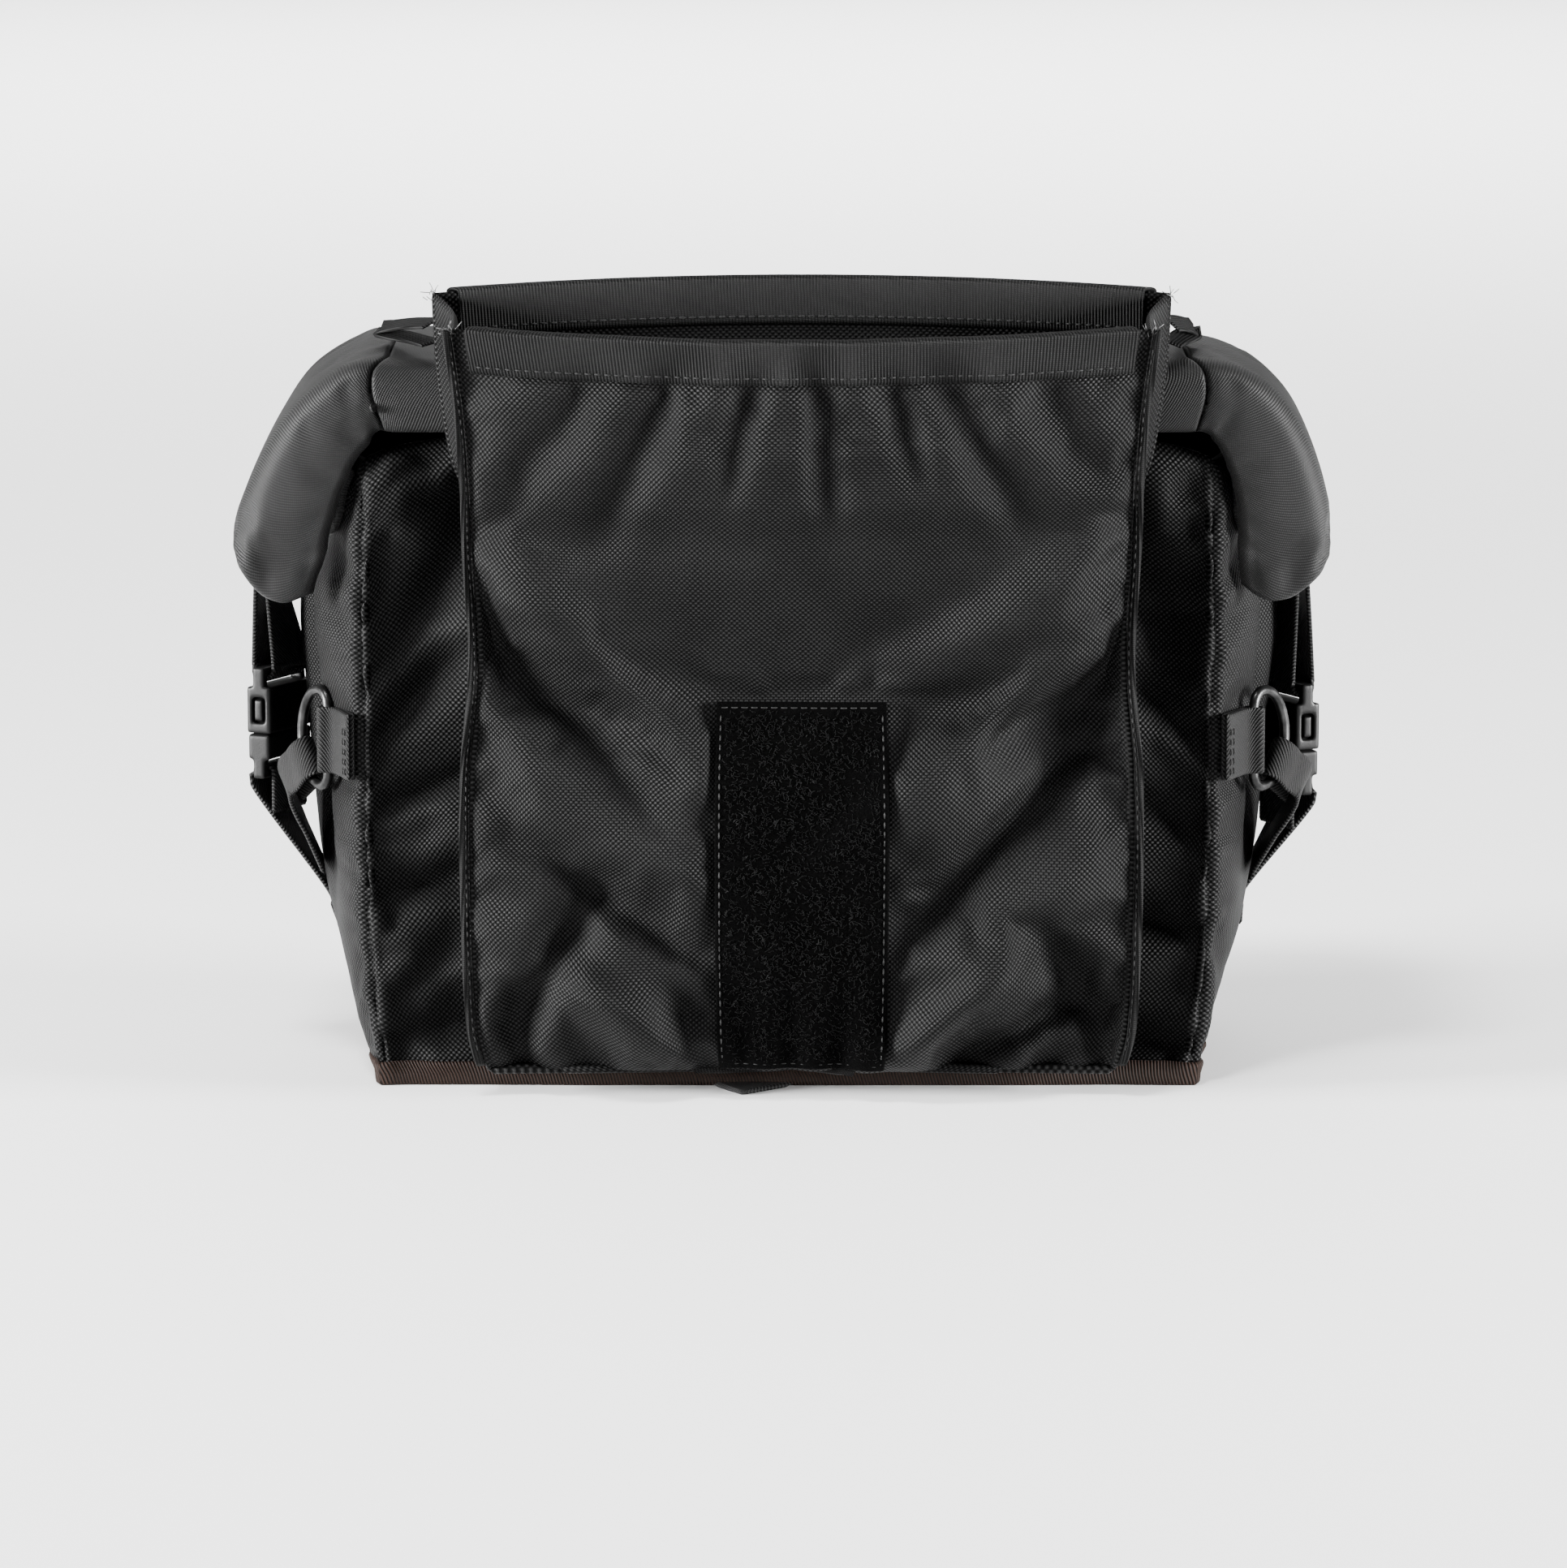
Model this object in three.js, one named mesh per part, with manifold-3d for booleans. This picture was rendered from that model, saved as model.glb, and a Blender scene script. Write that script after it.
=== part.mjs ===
// A soft bicycle handlebar bag: a stuffed box body under a padded lid with two wings, and a tall front pouch.
// The front faces -Y, +Z is up, and the origin is the middle of the underside. Lengths are in millimetres.
import * as THREE from "three";
import { mergeVertices } from "three/addons/utils/BufferGeometryUtils.js";
import Module from "manifold-3d";

// Driving dimensions of the body
const BODY_WIDTH = 254; // between the two front seams
const BODY_DEPTH = 130; // front panel to back panel
const BODY_HEIGHT = 195; // underside to the middle of the front rim
const BODY_WALL = 2;
const SIDE_BULGE = 18; // how far a stuffed side stands out past its seams
const CORNER_DROP = 8; // the rim is this much lower at the four corners
const BASE_THICKNESS = 3;
const BINDING_HEIGHT = 7;
const BINDING_THICKNESS = 2.2;

// Driving dimensions of the lid
const LID_RISE = 23; // the lid's top lies this far above the body's rim
const LID_THICKNESS = 4;
const LID_INSET = 2; // the wings start to turn down this far inside the body's sides
const LID_CROWN = 4;
const LIP_DEPTH = 22; // width of the front lip
const RIDGE_DEPTH = 12; // how far back the rounded front ridge reaches
const REAR_DROP = 32; // the rear edge hangs this far down the back
const REAR_DIP = 5; // the lid's rear lies about this much lower than its front
const LIP_SOFTNESS = 11; // half the way along the lid over which its lip turns
const LID_SEAM_GAP = 1.2;
const WING_FRONT_TAPER = 10;
const WING_REAR_TAPER = 40;
const WING_TIP = 13; // how far the rounded end of a wing's lip reaches past its outer corner
const WING_NARROW = 0.2; // share of the lip's depth that is lost at the end of a wing
const FLAP_THICKNESS = 3;
const FLAP_HEIGHT = 22;
const FLAP = { front: 0.05, rear: 0.86, drop: 0.015, round: 0.1, corner: 0.55 }; // shares of the side panel

// Driving dimensions of the pouch
const POUCH_WIDTH = 195; // between its front seams at mid height
const POUCH_DEPTH = 40; // front seam to rear seam at the mouth
const POUCH_OFFSET = 4; // the pouch sits this much to the right of the body's middle
const POUCH_BOTTOM = 8;
const POUCH_TOP = 242;
const POUCH_WALL = 1.4;
const POUCH_BELLY = 14;
const PLEAT_DEPTH = 8;
const RIM_TAPE = 13; // height of the tape folded over each rim
const TAPE_THICKNESS = 1;
const SEAM_HEIGHT = 3;
const SEAM_THICKNESS = 1.6;
const PATCH_WIDTH = 50;
const PATCH_HEIGHT = 110;
const PATCH_THICKNESS = 1.8;
const PATCH_LOW = 2; // the patch starts this far above the pouch's underside

// Driving dimensions of the webbing and the hardware
const WEBBING = 20;
const WEBBING_THICKNESS = 1.5;
const RING_HEIGHT = 32;
const RING_REACH = 19;
const RING_WIRE = 3;
const RING_Z = 102;
const BUCKLE_LENGTH = 34;
const BUCKLE_WIDTH = 26;
const BUCKLE_THICKNESS = 8.5;
const BUCKLE_WALL = 1.6;
const BAR_DIAMETER = 32;
const BAR_DROP = 44; // the handlebar's middle lies this far below the body's rim
const BAR_STRAP_WIDTH = 25;
const BAR_STRAP_SPACING = 96;
const WEB_HEIGHT = 7;
const TAB_WIDTH = 24;
const TAB_LENGTH = 14;
const TAB_SHIFT = 10.4; // how far the middle of the base tab lies left of the body's middle
const GAP = 0.3;

// Heights that the neighbours share
const SHELL_BOTTOM = BASE_THICKNESS + GAP;
const FRONT_Y = -BODY_DEPTH / 2;
const BACK_Y = BODY_DEPTH / 2;
const LID_FLAT = BODY_WIDTH / 2 - LID_INSET;
const LID_HEIGHT = BODY_HEIGHT + LID_RISE;
const BAR_Z = BODY_HEIGHT - BAR_DROP;

// Body sections: height up the wall, then shares of half the width, of the side bulge and of half the depth
const BODY_SECTIONS = [
  { up: 0, width: 0.95, bulge: 0.15, depth: 0.985 },
  { up: 0.04, width: 0.962, bulge: 0.3, depth: 1 },
  { up: 0.15, width: 0.982, bulge: 0.5, depth: 1 },
  { up: 0.35, width: 0.996, bulge: 0.75, depth: 1 },
  { up: 0.58, width: 1, bulge: 0.93, depth: 1 },
  { up: 0.76, width: 1.004, bulge: 1, depth: 1 },
  { up: 0.86, width: 1, bulge: 0.62, depth: 1 },
  { up: 0.93, width: 1, bulge: 0.82, depth: 1 },
  { up: 1, width: 0.995, bulge: 0.5, depth: 0.995 },
];

// Dents of the body. Panel 0 is the front, 1 the right side, 2 the back and 3 the left side. The middle and
// the half length and half width are shares of the panel, the turn is in degrees from upright, and the depth is
// a share of DENT_DEPTH.
const DENT_DEPTH = 5;
const BODY_DENTS = [
  { panel: 0, across: 0.08, up: 0.72, long: 0.2, wide: 0.035, turn: 28, deep: 0.7 },
  { panel: 0, across: 0.07, up: 0.42, long: 0.12, wide: 0.03, turn: 62, deep: 0.6 },
  { panel: 0, across: 0.06, up: 0.24, long: 0.1, wide: 0.035, turn: 70, deep: 0.8 },
  { panel: 0, across: 0.93, up: 0.66, long: 0.18, wide: 0.035, turn: -24, deep: 0.8 },
  { panel: 0, across: 0.94, up: 0.4, long: 0.12, wide: 0.03, turn: -60, deep: 0.6 },
  { panel: 0, across: 0.93, up: 0.18, long: 0.12, wide: 0.04, turn: -72, deep: 0.8 },
  { panel: 1, across: 0.3, up: 0.62, long: 0.3, wide: 0.07, turn: 8, deep: 1 },
  { panel: 1, across: 0.62, up: 0.36, long: 0.24, wide: 0.08, turn: -18, deep: 0.9 },
  { panel: 1, across: 0.38, up: 0.16, long: 0.2, wide: 0.07, turn: 64, deep: 0.7 },
  { panel: 3, across: 0.7, up: 0.6, long: 0.3, wide: 0.07, turn: -8, deep: 1 },
  { panel: 3, across: 0.38, up: 0.38, long: 0.24, wide: 0.08, turn: 18, deep: 0.9 },
  { panel: 3, across: 0.62, up: 0.15, long: 0.2, wide: 0.07, turn: -64, deep: 0.7 },
];

// Pouch sections: height up the pouch, then shares of half the width at the front and rear seams, of the depth,
// of the belly, of the side pleat and of the lean out over the lid's lip
const POUCH_SECTIONS = [
  { up: 0, front: 0.95, back: 0.94, depth: 0.42, belly: 0.2, pleat: 0, lean: 0 },
  { up: 0.02, front: 0.966, back: 0.95, depth: 0.5, belly: 0.35, pleat: 0.2, lean: 0 },
  { up: 0.06, front: 0.985, back: 0.96, depth: 0.56, belly: 0.5, pleat: 0.6, lean: 0 },
  { up: 0.2, front: 1, back: 0.97, depth: 0.6, belly: 0.75, pleat: 0.9, lean: 0 },
  { up: 0.4, front: 1, back: 0.97, depth: 0.63, belly: 0.9, pleat: 1, lean: 0 },
  { up: 0.55, front: 0.972, back: 0.97, depth: 0.68, belly: 1, pleat: 1, lean: 0 },
  { up: 0.7, front: 0.988, back: 0.99, depth: 0.75, belly: 1, pleat: 0.8, lean: 0 },
  { up: 0.74, front: 0.99, back: 1.02, depth: 0.78, belly: 0.98, pleat: 0.7, lean: 0.15 },
  { up: 0.79, front: 0.99, back: 1.06, depth: 0.83, belly: 0.94, pleat: 0.6, lean: 1 },
  { up: 0.9, front: 1.008, back: 1.1, depth: 0.93, belly: 0.92, pleat: 0.5, lean: 1 },
  { up: 1, front: 1.04, back: 1.113, depth: 1, belly: 1, pleat: 0.35, lean: 1 },
];

// How far below the pouch's top its rim lies, as shares of RIM_DROP
const RIM_DROP = 14;
const RIM_SAG = { frontMiddle: 1, frontCorner: 0.78, backMiddle: 0, backCorner: 0.3 };

// Folds of the pouch's front, measured as the body's dents are, with ridges above zero and valleys below
const FOLD_DEPTH = 6;
const POUCH_FOLDS = [
  { across: 0.5, up: 0.6, long: 0.34, wide: 0.09, turn: 88, deep: -0.75 },
  { across: 0.2, up: 0.56, long: 0.26, wide: 0.05, turn: -52, deep: 0.6 },
  { across: 0.17, up: 0.44, long: 0.22, wide: 0.045, turn: -50, deep: -0.55 },
  { across: 0.24, up: 0.32, long: 0.24, wide: 0.05, turn: -56, deep: 0.5 },
  { across: 0.86, up: 0.63, long: 0.24, wide: 0.05, turn: 58, deep: 0.6 },
  { across: 0.92, up: 0.52, long: 0.16, wide: 0.045, turn: 62, deep: -0.8 },
  { across: 0.78, up: 0.42, long: 0.24, wide: 0.05, turn: 50, deep: 0.5 },
  { across: 0.8, up: 0.26, long: 0.2, wide: 0.05, turn: 46, deep: -0.5 },
  { across: 0.13, up: 0.17, long: 0.12, wide: 0.04, turn: 40, deep: -0.6 },
  { across: 0.24, up: 0.09, long: 0.14, wide: 0.04, turn: -66, deep: 0.55 },
  { across: 0.8, up: 0.13, long: 0.16, wide: 0.04, turn: 62, deep: 0.6 },
  { across: 0.9, up: 0.08, long: 0.12, wide: 0.035, turn: -50, deep: -0.6 },
  { across: 0.16, up: 0.87, long: 0.07, wide: 0.025, turn: 28, deep: -0.35 },
  { across: 0.33, up: 0.87, long: 0.08, wide: 0.025, turn: 14, deep: -0.45 },
  { across: 0.46, up: 0.86, long: 0.08, wide: 0.022, turn: 4, deep: -0.5 },
  { across: 0.58, up: 0.87, long: 0.08, wide: 0.022, turn: -8, deep: -0.5 },
  { across: 0.72, up: 0.87, long: 0.08, wide: 0.025, turn: -18, deep: -0.4 },
  { across: 0.85, up: 0.87, long: 0.07, wide: 0.025, turn: -28, deep: -0.35 },
];

// Slope of each wing below level, in degrees, along its length from the end of the flat top, and how far its
// rear edge lies in from its front edge, as a share of REAR_DIP
const WINGS = {
  left: {
    side: -1,
    length: 71,
    bend: [
      { along: 0, slope: 8, dip: 0.92 },
      { along: 0.1, slope: 32, dip: 1 },
      { along: 0.3, slope: 45, dip: 0.3 },
      { along: 0.45, slope: 56, dip: 0.6 },
      { along: 0.65, slope: 65, dip: 0.65 },
      { along: 1, slope: 72, dip: 0.15 },
    ],
  },
  right: {
    side: 1,
    length: 74,
    bend: [
      { along: 0, slope: 5, dip: 2.1 },
      { along: 0.1, slope: 22, dip: 1.9 },
      { along: 0.25, slope: 42, dip: 1 },
      { along: 0.42, slope: 58, dip: 0.4 },
      { along: 0.65, slope: 72, dip: 0.7 },
      { along: 1, slope: 84, dip: 0.25 },
    ],
  },
};

// The lid's front profile: shares of LIP_DEPTH inward from the outer face, of RIDGE_DEPTH back from the front,
// and of WING_TIP past the end of the wing
const LIP_PROFILE = [
  { inward: 1, back: 0.06, tip: 0.55 },
  { inward: 0.72, back: 0, tip: 1 },
  { inward: 0.45, back: 0.03, tip: 0.9 },
  { inward: 0.22, back: 0.16, tip: 0.55 },
  { inward: 0.08, back: 0.48, tip: 0.2 },
  { inward: 0, back: 1, tip: 0 },
];
// Where the seam between the lid's middle and a wing runs, as shares of LID_FLAT, from the lip to the rear
const LID_SEAM = [
  { along: 0, out: 0.985 },
  { along: 0.16, out: 1 },
  { along: 0.3, out: 0.985 },
  { along: 0.5, out: 0.945 },
  { along: 1, out: 0.92 },
];
const TOP_STEPS = 5;

const { manifold: solidOf, geometry: geometryOf } = await booleans();

const FABRIC = new THREE.MeshStandardMaterial({ color: 0x2b2b2c, roughness: 0.85 });
const LID_FABRIC = new THREE.MeshStandardMaterial({ color: 0x3a3a3b, roughness: 0.8 });
const TAPE = new THREE.MeshStandardMaterial({ color: 0x252526, roughness: 0.8 });
const BINDING = new THREE.MeshStandardMaterial({ color: 0x2a211d, roughness: 0.8 });
const LOOP = new THREE.MeshStandardMaterial({ color: 0x101010, roughness: 1 });
const STRAP = new THREE.MeshStandardMaterial({ color: 0x1d1d1e, roughness: 0.75 });
const PLASTIC = new THREE.MeshStandardMaterial({ color: 0x161617, roughness: 0.4 });
const METAL = new THREE.MeshStandardMaterial({ color: 0x3a3a3c, roughness: 0.35, metalness: 0.8 });

const bag = new THREE.Group();

function piece(name, geometry, material) {
  const mesh = new THREE.Mesh(geometry, material);
  mesh.name = name;
  bag.add(mesh);
  return mesh;
}

// Joins and cuts closed meshes.
async function booleans() {
  const wasm = await Module();
  wasm.setup();
  const manifold = (source) => {
    const bare = source.clone();
    bare.deleteAttribute("normal");
    bare.deleteAttribute("uv");
    const merged = mergeVertices(bare, 1e-4);
    return new wasm.Manifold(
      new wasm.Mesh({
        numProp: 3,
        vertProperties: new Float32Array(merged.attributes.position.array),
        triVerts: new Uint32Array(merged.index.array),
      }),
    );
  };
  const geometry = (solid) => {
    const mesh = solid.getMesh();
    const made = new THREE.BufferGeometry();
    made.setAttribute("position", new THREE.BufferAttribute(new Float32Array(mesh.vertProperties), 3));
    made.setIndex(new THREE.BufferAttribute(new Uint32Array(mesh.triVerts), 1));
    return made;
  };
  return { manifold, geometry };
}

const vec = (x, y, z) => new THREE.Vector3(x, y, z);
const share = (i, n) => i / n;
const radians = THREE.MathUtils.degToRad;

// A smooth curve through a table's rows: the value in one column where the first column reaches a share.
function follow(table, axis, column, at) {
  const last = table.length - 1;
  const found = table.findIndex((row, i) => i < last && at <= table[i + 1][axis]);
  const i = found < 0 ? last - 1 : found;
  const slope = (k) => {
    const a = table[Math.max(0, k - 1)];
    const b = table[Math.min(last, k + 1)];
    return (b[column] - a[column]) / (b[axis] - a[axis]);
  };
  const span = table[i + 1][axis] - table[i][axis];
  const t = THREE.MathUtils.clamp((at - table[i][axis]) / span, 0, 1);
  const t2 = t * t;
  const t3 = t2 * t;
  return (
    (2 * t3 - 3 * t2 + 1) * table[i][column] +
    (t3 - 2 * t2 + t) * span * slope(i) +
    (3 * t2 - 2 * t3) * table[i + 1][column] +
    (t3 - t2) * span * slope(i + 1)
  );
}

// A closed mesh from points and triangles, turned so that its faces point out.
function closed(points, triangles) {
  const cross = new THREE.Vector3();
  let volume = 0;
  for (const [a, b, c] of triangles) volume += points[a].dot(cross.crossVectors(points[b], points[c]));
  const index = triangles.flatMap(([a, b, c]) => (volume > 0 ? [a, b, c] : [a, c, b]));
  const made = new THREE.BufferGeometry().setFromPoints(points);
  made.setIndex(index);
  made.computeVertexNormals();
  return made;
}

// Two triangles for each quad of a grid of point numbers.
function quads(rows, columns, number, triangles, wrap = false) {
  for (let i = 0; i + 1 < rows; i += 1)
    for (let j = 0; j + (wrap ? 0 : 1) < columns; j += 1) {
      const k = (j + 1) % columns;
      triangles.push([number(i, j), number(i + 1, j), number(i + 1, k)]);
      triangles.push([number(i, j), number(i + 1, k), number(i, k)]);
    }
}

// Rings of equal count joined in turn, with a flat fan over the first and the last, or joined end to end.
function loft(rings, endless = false) {
  const count = rings[0].length;
  const points = rings.flat();
  const triangles = [];
  const number = (i, j) => (i % rings.length) * count + j;
  quads(rings.length + (endless ? 1 : 0), count, number, triangles, true);
  if (!endless)
    [0, rings.length - 1].forEach((ring, end) => {
      const middle = points.length;
      points.push(rings[ring].reduce((sum, p) => sum.add(p), vec(0, 0, 0)).divideScalar(count));
      for (let j = 0; j < count; j += 1) {
        const edge = [number(ring, j), number(ring, (j + 1) % count)];
        triangles.push(end ? [middle, edge[1], edge[0]] : [middle, ...edge]);
      }
    });
  return closed(points, triangles);
}

// A hollow vessel open at the top: its outer rings run from the bottom up and its inner rings back down.
function vessel(ringAt, heights, floor, wall) {
  const outer = heights.map((up) => ringAt(up, 0));
  const inner = heights
    .filter((up) => up > floor)
    .reverse()
    .map((up) => ringAt(up, wall));
  return loft([...outer, ...inner, ringAt(floor, wall)]);
}

// A sheet between two grids of points, closed round its four edges.
function sheet(outer, inner) {
  const rows = outer.length;
  const columns = outer[0].length;
  const points = [...outer.flat(), ...inner.flat()];
  const face = (layer) => (i, j) => layer * rows * columns + i * columns + j;
  const triangles = [];
  quads(rows, columns, face(0), triangles);
  quads(rows, columns, (i, j) => face(1)(i, columns - 1 - j), triangles);
  const border = [];
  for (let j = 0; j < columns; j += 1) border.push([0, j]);
  for (let i = 1; i < rows; i += 1) border.push([i, columns - 1]);
  for (let j = columns - 2; j >= 0; j -= 1) border.push([rows - 1, j]);
  for (let i = rows - 2; i > 0; i -= 1) border.push([i, 0]);
  border.forEach((from, n) => {
    const to = border[(n + 1) % border.length];
    triangles.push([face(0)(...from), face(0)(...to), face(1)(...to)]);
    triangles.push([face(0)(...from), face(1)(...to), face(1)(...from)]);
  });
  return closed(points, triangles);
}

const steps = (from, to, count) =>
  Array.from({ length: count + 1 }, (_, i) => from + (to - from) * share(i, count));
const arch = (t, fullness) => 1 - Math.abs(2 * t - 1) ** fullness;

// One fold's height at a point of its panel: a soft ridge that fades at both ends.
function foldHeight(fold, across, up) {
  const lean = radians(fold.turn);
  const dx = across - fold.across;
  const dz = up - fold.up;
  const along = dx * Math.sin(lean) + dz * Math.cos(lean);
  const beside = dx * Math.cos(lean) - dz * Math.sin(lean);
  return fold.deep * Math.exp(-((along / fold.long) ** 4) - (beside / fold.wide) ** 2);
}

function dents(panel, across, up) {
  return BODY_DENTS.filter((dent) => dent.panel === panel).reduce(
    (sum, dent) => sum + foldHeight(dent, across, up) * DENT_DEPTH,
    0,
  );
}

// The body's wall. The first parameter goes round: 0 to 1 the front, 1 to 2 the right side, 2 to 3 the back and
// 3 to 4 the left side.
function bodyWall(round, up, inset = 0) {
  const panel = Math.min(3, Math.floor(round));
  const t = round - panel;
  const width = (BODY_WIDTH / 2) * follow(BODY_SECTIONS, "up", "width", up) - inset;
  const depth = (BODY_DEPTH / 2) * follow(BODY_SECTIONS, "up", "depth", up) - inset;
  const bulge = SIDE_BULGE * follow(BODY_SECTIONS, "up", "bulge", up);
  const inner = dents(panel, t, up);
  const nearCorner = Math.abs(2 * t - 1) ** 8;
  const drop = panel === 1 || panel === 3 ? CORNER_DROP : CORNER_DROP * nearCorner;
  const z = SHELL_BOTTOM + (BODY_HEIGHT - drop - SHELL_BOTTOM) * up;
  const sideways = width + bulge * arch(t, 2) - inner * arch(t, 6);
  if (panel === 0) return vec(width * (2 * t - 1), -depth + inner * arch(t, 6), z);
  if (panel === 1) return vec(sideways, depth * (2 * t - 1), z);
  if (panel === 2) return vec(-width * (2 * t - 1), depth, z);
  return vec(-sideways, -depth * (2 * t - 1), z);
}

// A place on the left or right side of the body, across from its front seam.
const sideWall = (side, across, up) => bodyWall(side > 0 ? 1 + across : 4 - across, up);

// Stations round a wall: more of them where the panel is folded or curved.
function stations(counts) {
  return counts.flatMap((count, panel) => steps(panel, panel + 1, count).slice(0, -1));
}

const BODY_STATIONS = stations([14, 9, 6, 9]);
const BODY_HEIGHTS = [0, 0.03, 0.09, ...steps(0.17, 0.82, 7), 0.87, 0.93, 1];
const bodyShare = (z) => (z - SHELL_BOTTOM) / (BODY_HEIGHT - SHELL_BOTTOM);

function buildBody() {
  const ring = (up, inset) => BODY_STATIONS.map((round) => bodyWall(round, up, inset));
  const floor = BODY_WALL / (BODY_HEIGHT - SHELL_BOTTOM);
  piece("body_shell", vessel(ring, BODY_HEIGHTS, floor, BODY_WALL), FABRIC);
}

// Section of the binding round the base, as shares of its height and thickness
const BINDING_PROFILE = [
  { up: 0, out: 0 },
  { up: 0, out: 0.75 },
  { up: 0.3, out: 1 },
  { up: 0.75, out: 1 },
  { up: 1, out: 0.7 },
  { up: 1, out: 0 },
];
const BINDING_CORNER = 5; // the higher, the more sharply the binding turns its corners

function buildBase() {
  const outline = BODY_STATIONS.map((round) => bodyWall(round, 0));
  const flat = (z) => outline.map((p) => vec(p.x, p.y, z));
  piece("base_panel", loft([flat(0), flat(BASE_THICKNESS)]), FABRIC);
  const section = (round) => {
    const from = bodyWall(round, 0);
    const sharp = (share) => Math.sign(share) * Math.abs(share) ** BINDING_CORNER;
    const out = vec(sharp(from.x / (BODY_WIDTH / 2)), sharp(from.y / (BODY_DEPTH / 2)), 0).normalize();
    return BINDING_PROFILE.map((row) => {
      const z = BINDING_HEIGHT * row.up;
      const wall = bodyWall(round, Math.max(0, bodyShare(z)));
      return vec(wall.x, wall.y, z).addScaledVector(out, GAP * 2 + BINDING_THICKNESS * row.out);
    });
  };
  piece("base_binding", loft(BODY_STATIONS.map(section), true), BINDING);
}

function lidSlope(wing, distance) {
  const past = (distance - LID_FLAT) / wing.length;
  return past > 0 ? radians(follow(wing.bend, "along", "slope", past)) : 0;
}

// The lid's outer line seen from the front: a point and its outward normal at a distance from the middle. The
// normal turns over a longer way than the line does, so that the lip doesn't fold over itself inside the bend.
function lidLine(wing, distance) {
  const point = vec(Math.min(distance, LID_FLAT), 0, LID_HEIGHT);
  const past = distance - LID_FLAT;
  const pieces = 24;
  for (let i = 0; i < pieces && past > 0; i += 1) {
    const slope = lidSlope(wing, LID_FLAT + (past * (i + 0.5)) / pieces);
    point.x += (Math.cos(slope) * past) / pieces;
    point.z -= (Math.sin(slope) * past) / pieces;
  }
  const near = steps(distance - LIP_SOFTNESS, distance + LIP_SOFTNESS, 8);
  const turn = near.reduce((sum, place) => sum + lidSlope(wing, place), 0) / near.length;
  const normal = vec(Math.sin(turn), 0, Math.cos(turn));
  point.x *= wing.side;
  normal.x *= wing.side;
  return { point, normal };
}

const LID_FRONT = FRONT_Y - GAP * 3 - LID_THICKNESS;
const LID_BACK = BACK_Y + GAP + LID_THICKNESS;

// The lid's top runs from its front ridge back to its rear edge.
const TOP_FRONT = LID_FRONT + RIDGE_DEPTH;
const TOP_BACK = LID_BACK - LID_THICKNESS;
const rearShare = (y) => THREE.MathUtils.clamp((y - TOP_FRONT) / (TOP_BACK - TOP_FRONT), 0, 1);

// How far the lid lies in from its outer line, at a distance from the middle and a place from front to rear.
function lidDip(wing, distance, y) {
  const past = (distance - LID_FLAT) / wing.length;
  const across = ((wing.side * distance) / LID_FLAT + 1) / 2;
  const level = WINGS.left.bend[0].dip + (WINGS.right.bend[0].dip - WINGS.left.bend[0].dip) * across;
  return REAR_DIP * (past > 0 ? follow(wing.bend, "along", "dip", past) : level) * rearShare(y) ** 1.5;
}

// One line of the lid from its front lip to its rear edge, at a distance from the middle. The rear of the
// middle part turns down over the back, and a wing ends in a plain edge.
function lidProfile(wing, distanceAt, withRear, inside) {
  const profile = [];
  const rear = withRear ? LIP_PROFILE.slice(0, -1).reverse() : [];
  const last = LIP_PROFILE.length + TOP_STEPS - 1;
  const place = (y, index, inwardAt) => {
    const tip = index < LIP_PROFILE.length ? WING_TIP * LIP_PROFILE[index].tip : 0;
    const distance = distanceAt(Math.min(1, index / last), tip);
    const { point, normal } = lidLine(wing, distance);
    const q = THREE.MathUtils.clamp((distance - LID_FLAT) / wing.length, 0, 1);
    const back = rearShare(y);
    point.addScaledVector(normal, -inwardAt(q) - lidDip(wing, distance, y));
    point.y = y + WING_FRONT_TAPER * q ** 2 * (1 - back) - WING_REAR_TAPER * q ** 1.4 * back;
    profile.push(point);
  };
  LIP_PROFILE.forEach((row, i) => {
    const behind = RIDGE_DEPTH * row.back * (i === 0 ? 1 : 1 - inside / RIDGE_DEPTH);
    const deep = LIP_DEPTH * row.inward;
    place(LID_FRONT + inside + behind, i, (q) => Math.max(inside, deep * (1 - WING_NARROW * q)));
  });
  const to = withRear ? LID_BACK - RIDGE_DEPTH : TOP_BACK;
  for (let k = 1; k <= TOP_STEPS; k += 1) {
    const t = share(k, TOP_STEPS);
    const y = TOP_FRONT + (to - TOP_FRONT) * t;
    place(y, LIP_PROFILE.length - 1 + k, (q) => inside - LID_CROWN * arch(t, 2) * (1 - q) ** 2);
  }
  rear.forEach((row, i) => {
    const y = LID_BACK - inside - RIDGE_DEPTH * row.back * (1 - inside / RIDGE_DEPTH);
    const inward = row.inward * (row.inward > 0.3 ? REAR_DROP : LIP_DEPTH);
    place(Math.max(y, BACK_Y + GAP), LIP_PROFILE.length + TOP_STEPS + i, () => Math.max(inside, inward));
  });
  return profile;
}

const seamOut = (along) => LID_FLAT * follow(LID_SEAM, "along", "out", along);

function buildLid() {
  const centreGrid = (thickness) =>
    steps(-1, 1, 8).map((t) => {
      const wing = t < 0 ? WINGS.left : WINGS.right;
      return lidProfile(wing, (along) => Math.abs(t) * seamOut(along), true, thickness);
    });
  piece("lid_centre", sheet(centreGrid(0), centreGrid(LID_THICKNESS)), LID_FABRIC);
  for (const [name, wing] of Object.entries(WINGS)) {
    const grid = (thickness) =>
      steps(0, 1, 11).map((t) => {
        const distance = (along, tip) => {
          const start = seamOut(along) + LID_SEAM_GAP;
          return start + (LID_FLAT + wing.length + tip - start) * t;
        };
        return lidProfile(wing, distance, false, thickness);
      });
    piece(`lid_wing_${name}`, sheet(grid(0), grid(LID_THICKNESS)), LID_FABRIC);
  }
}

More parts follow.
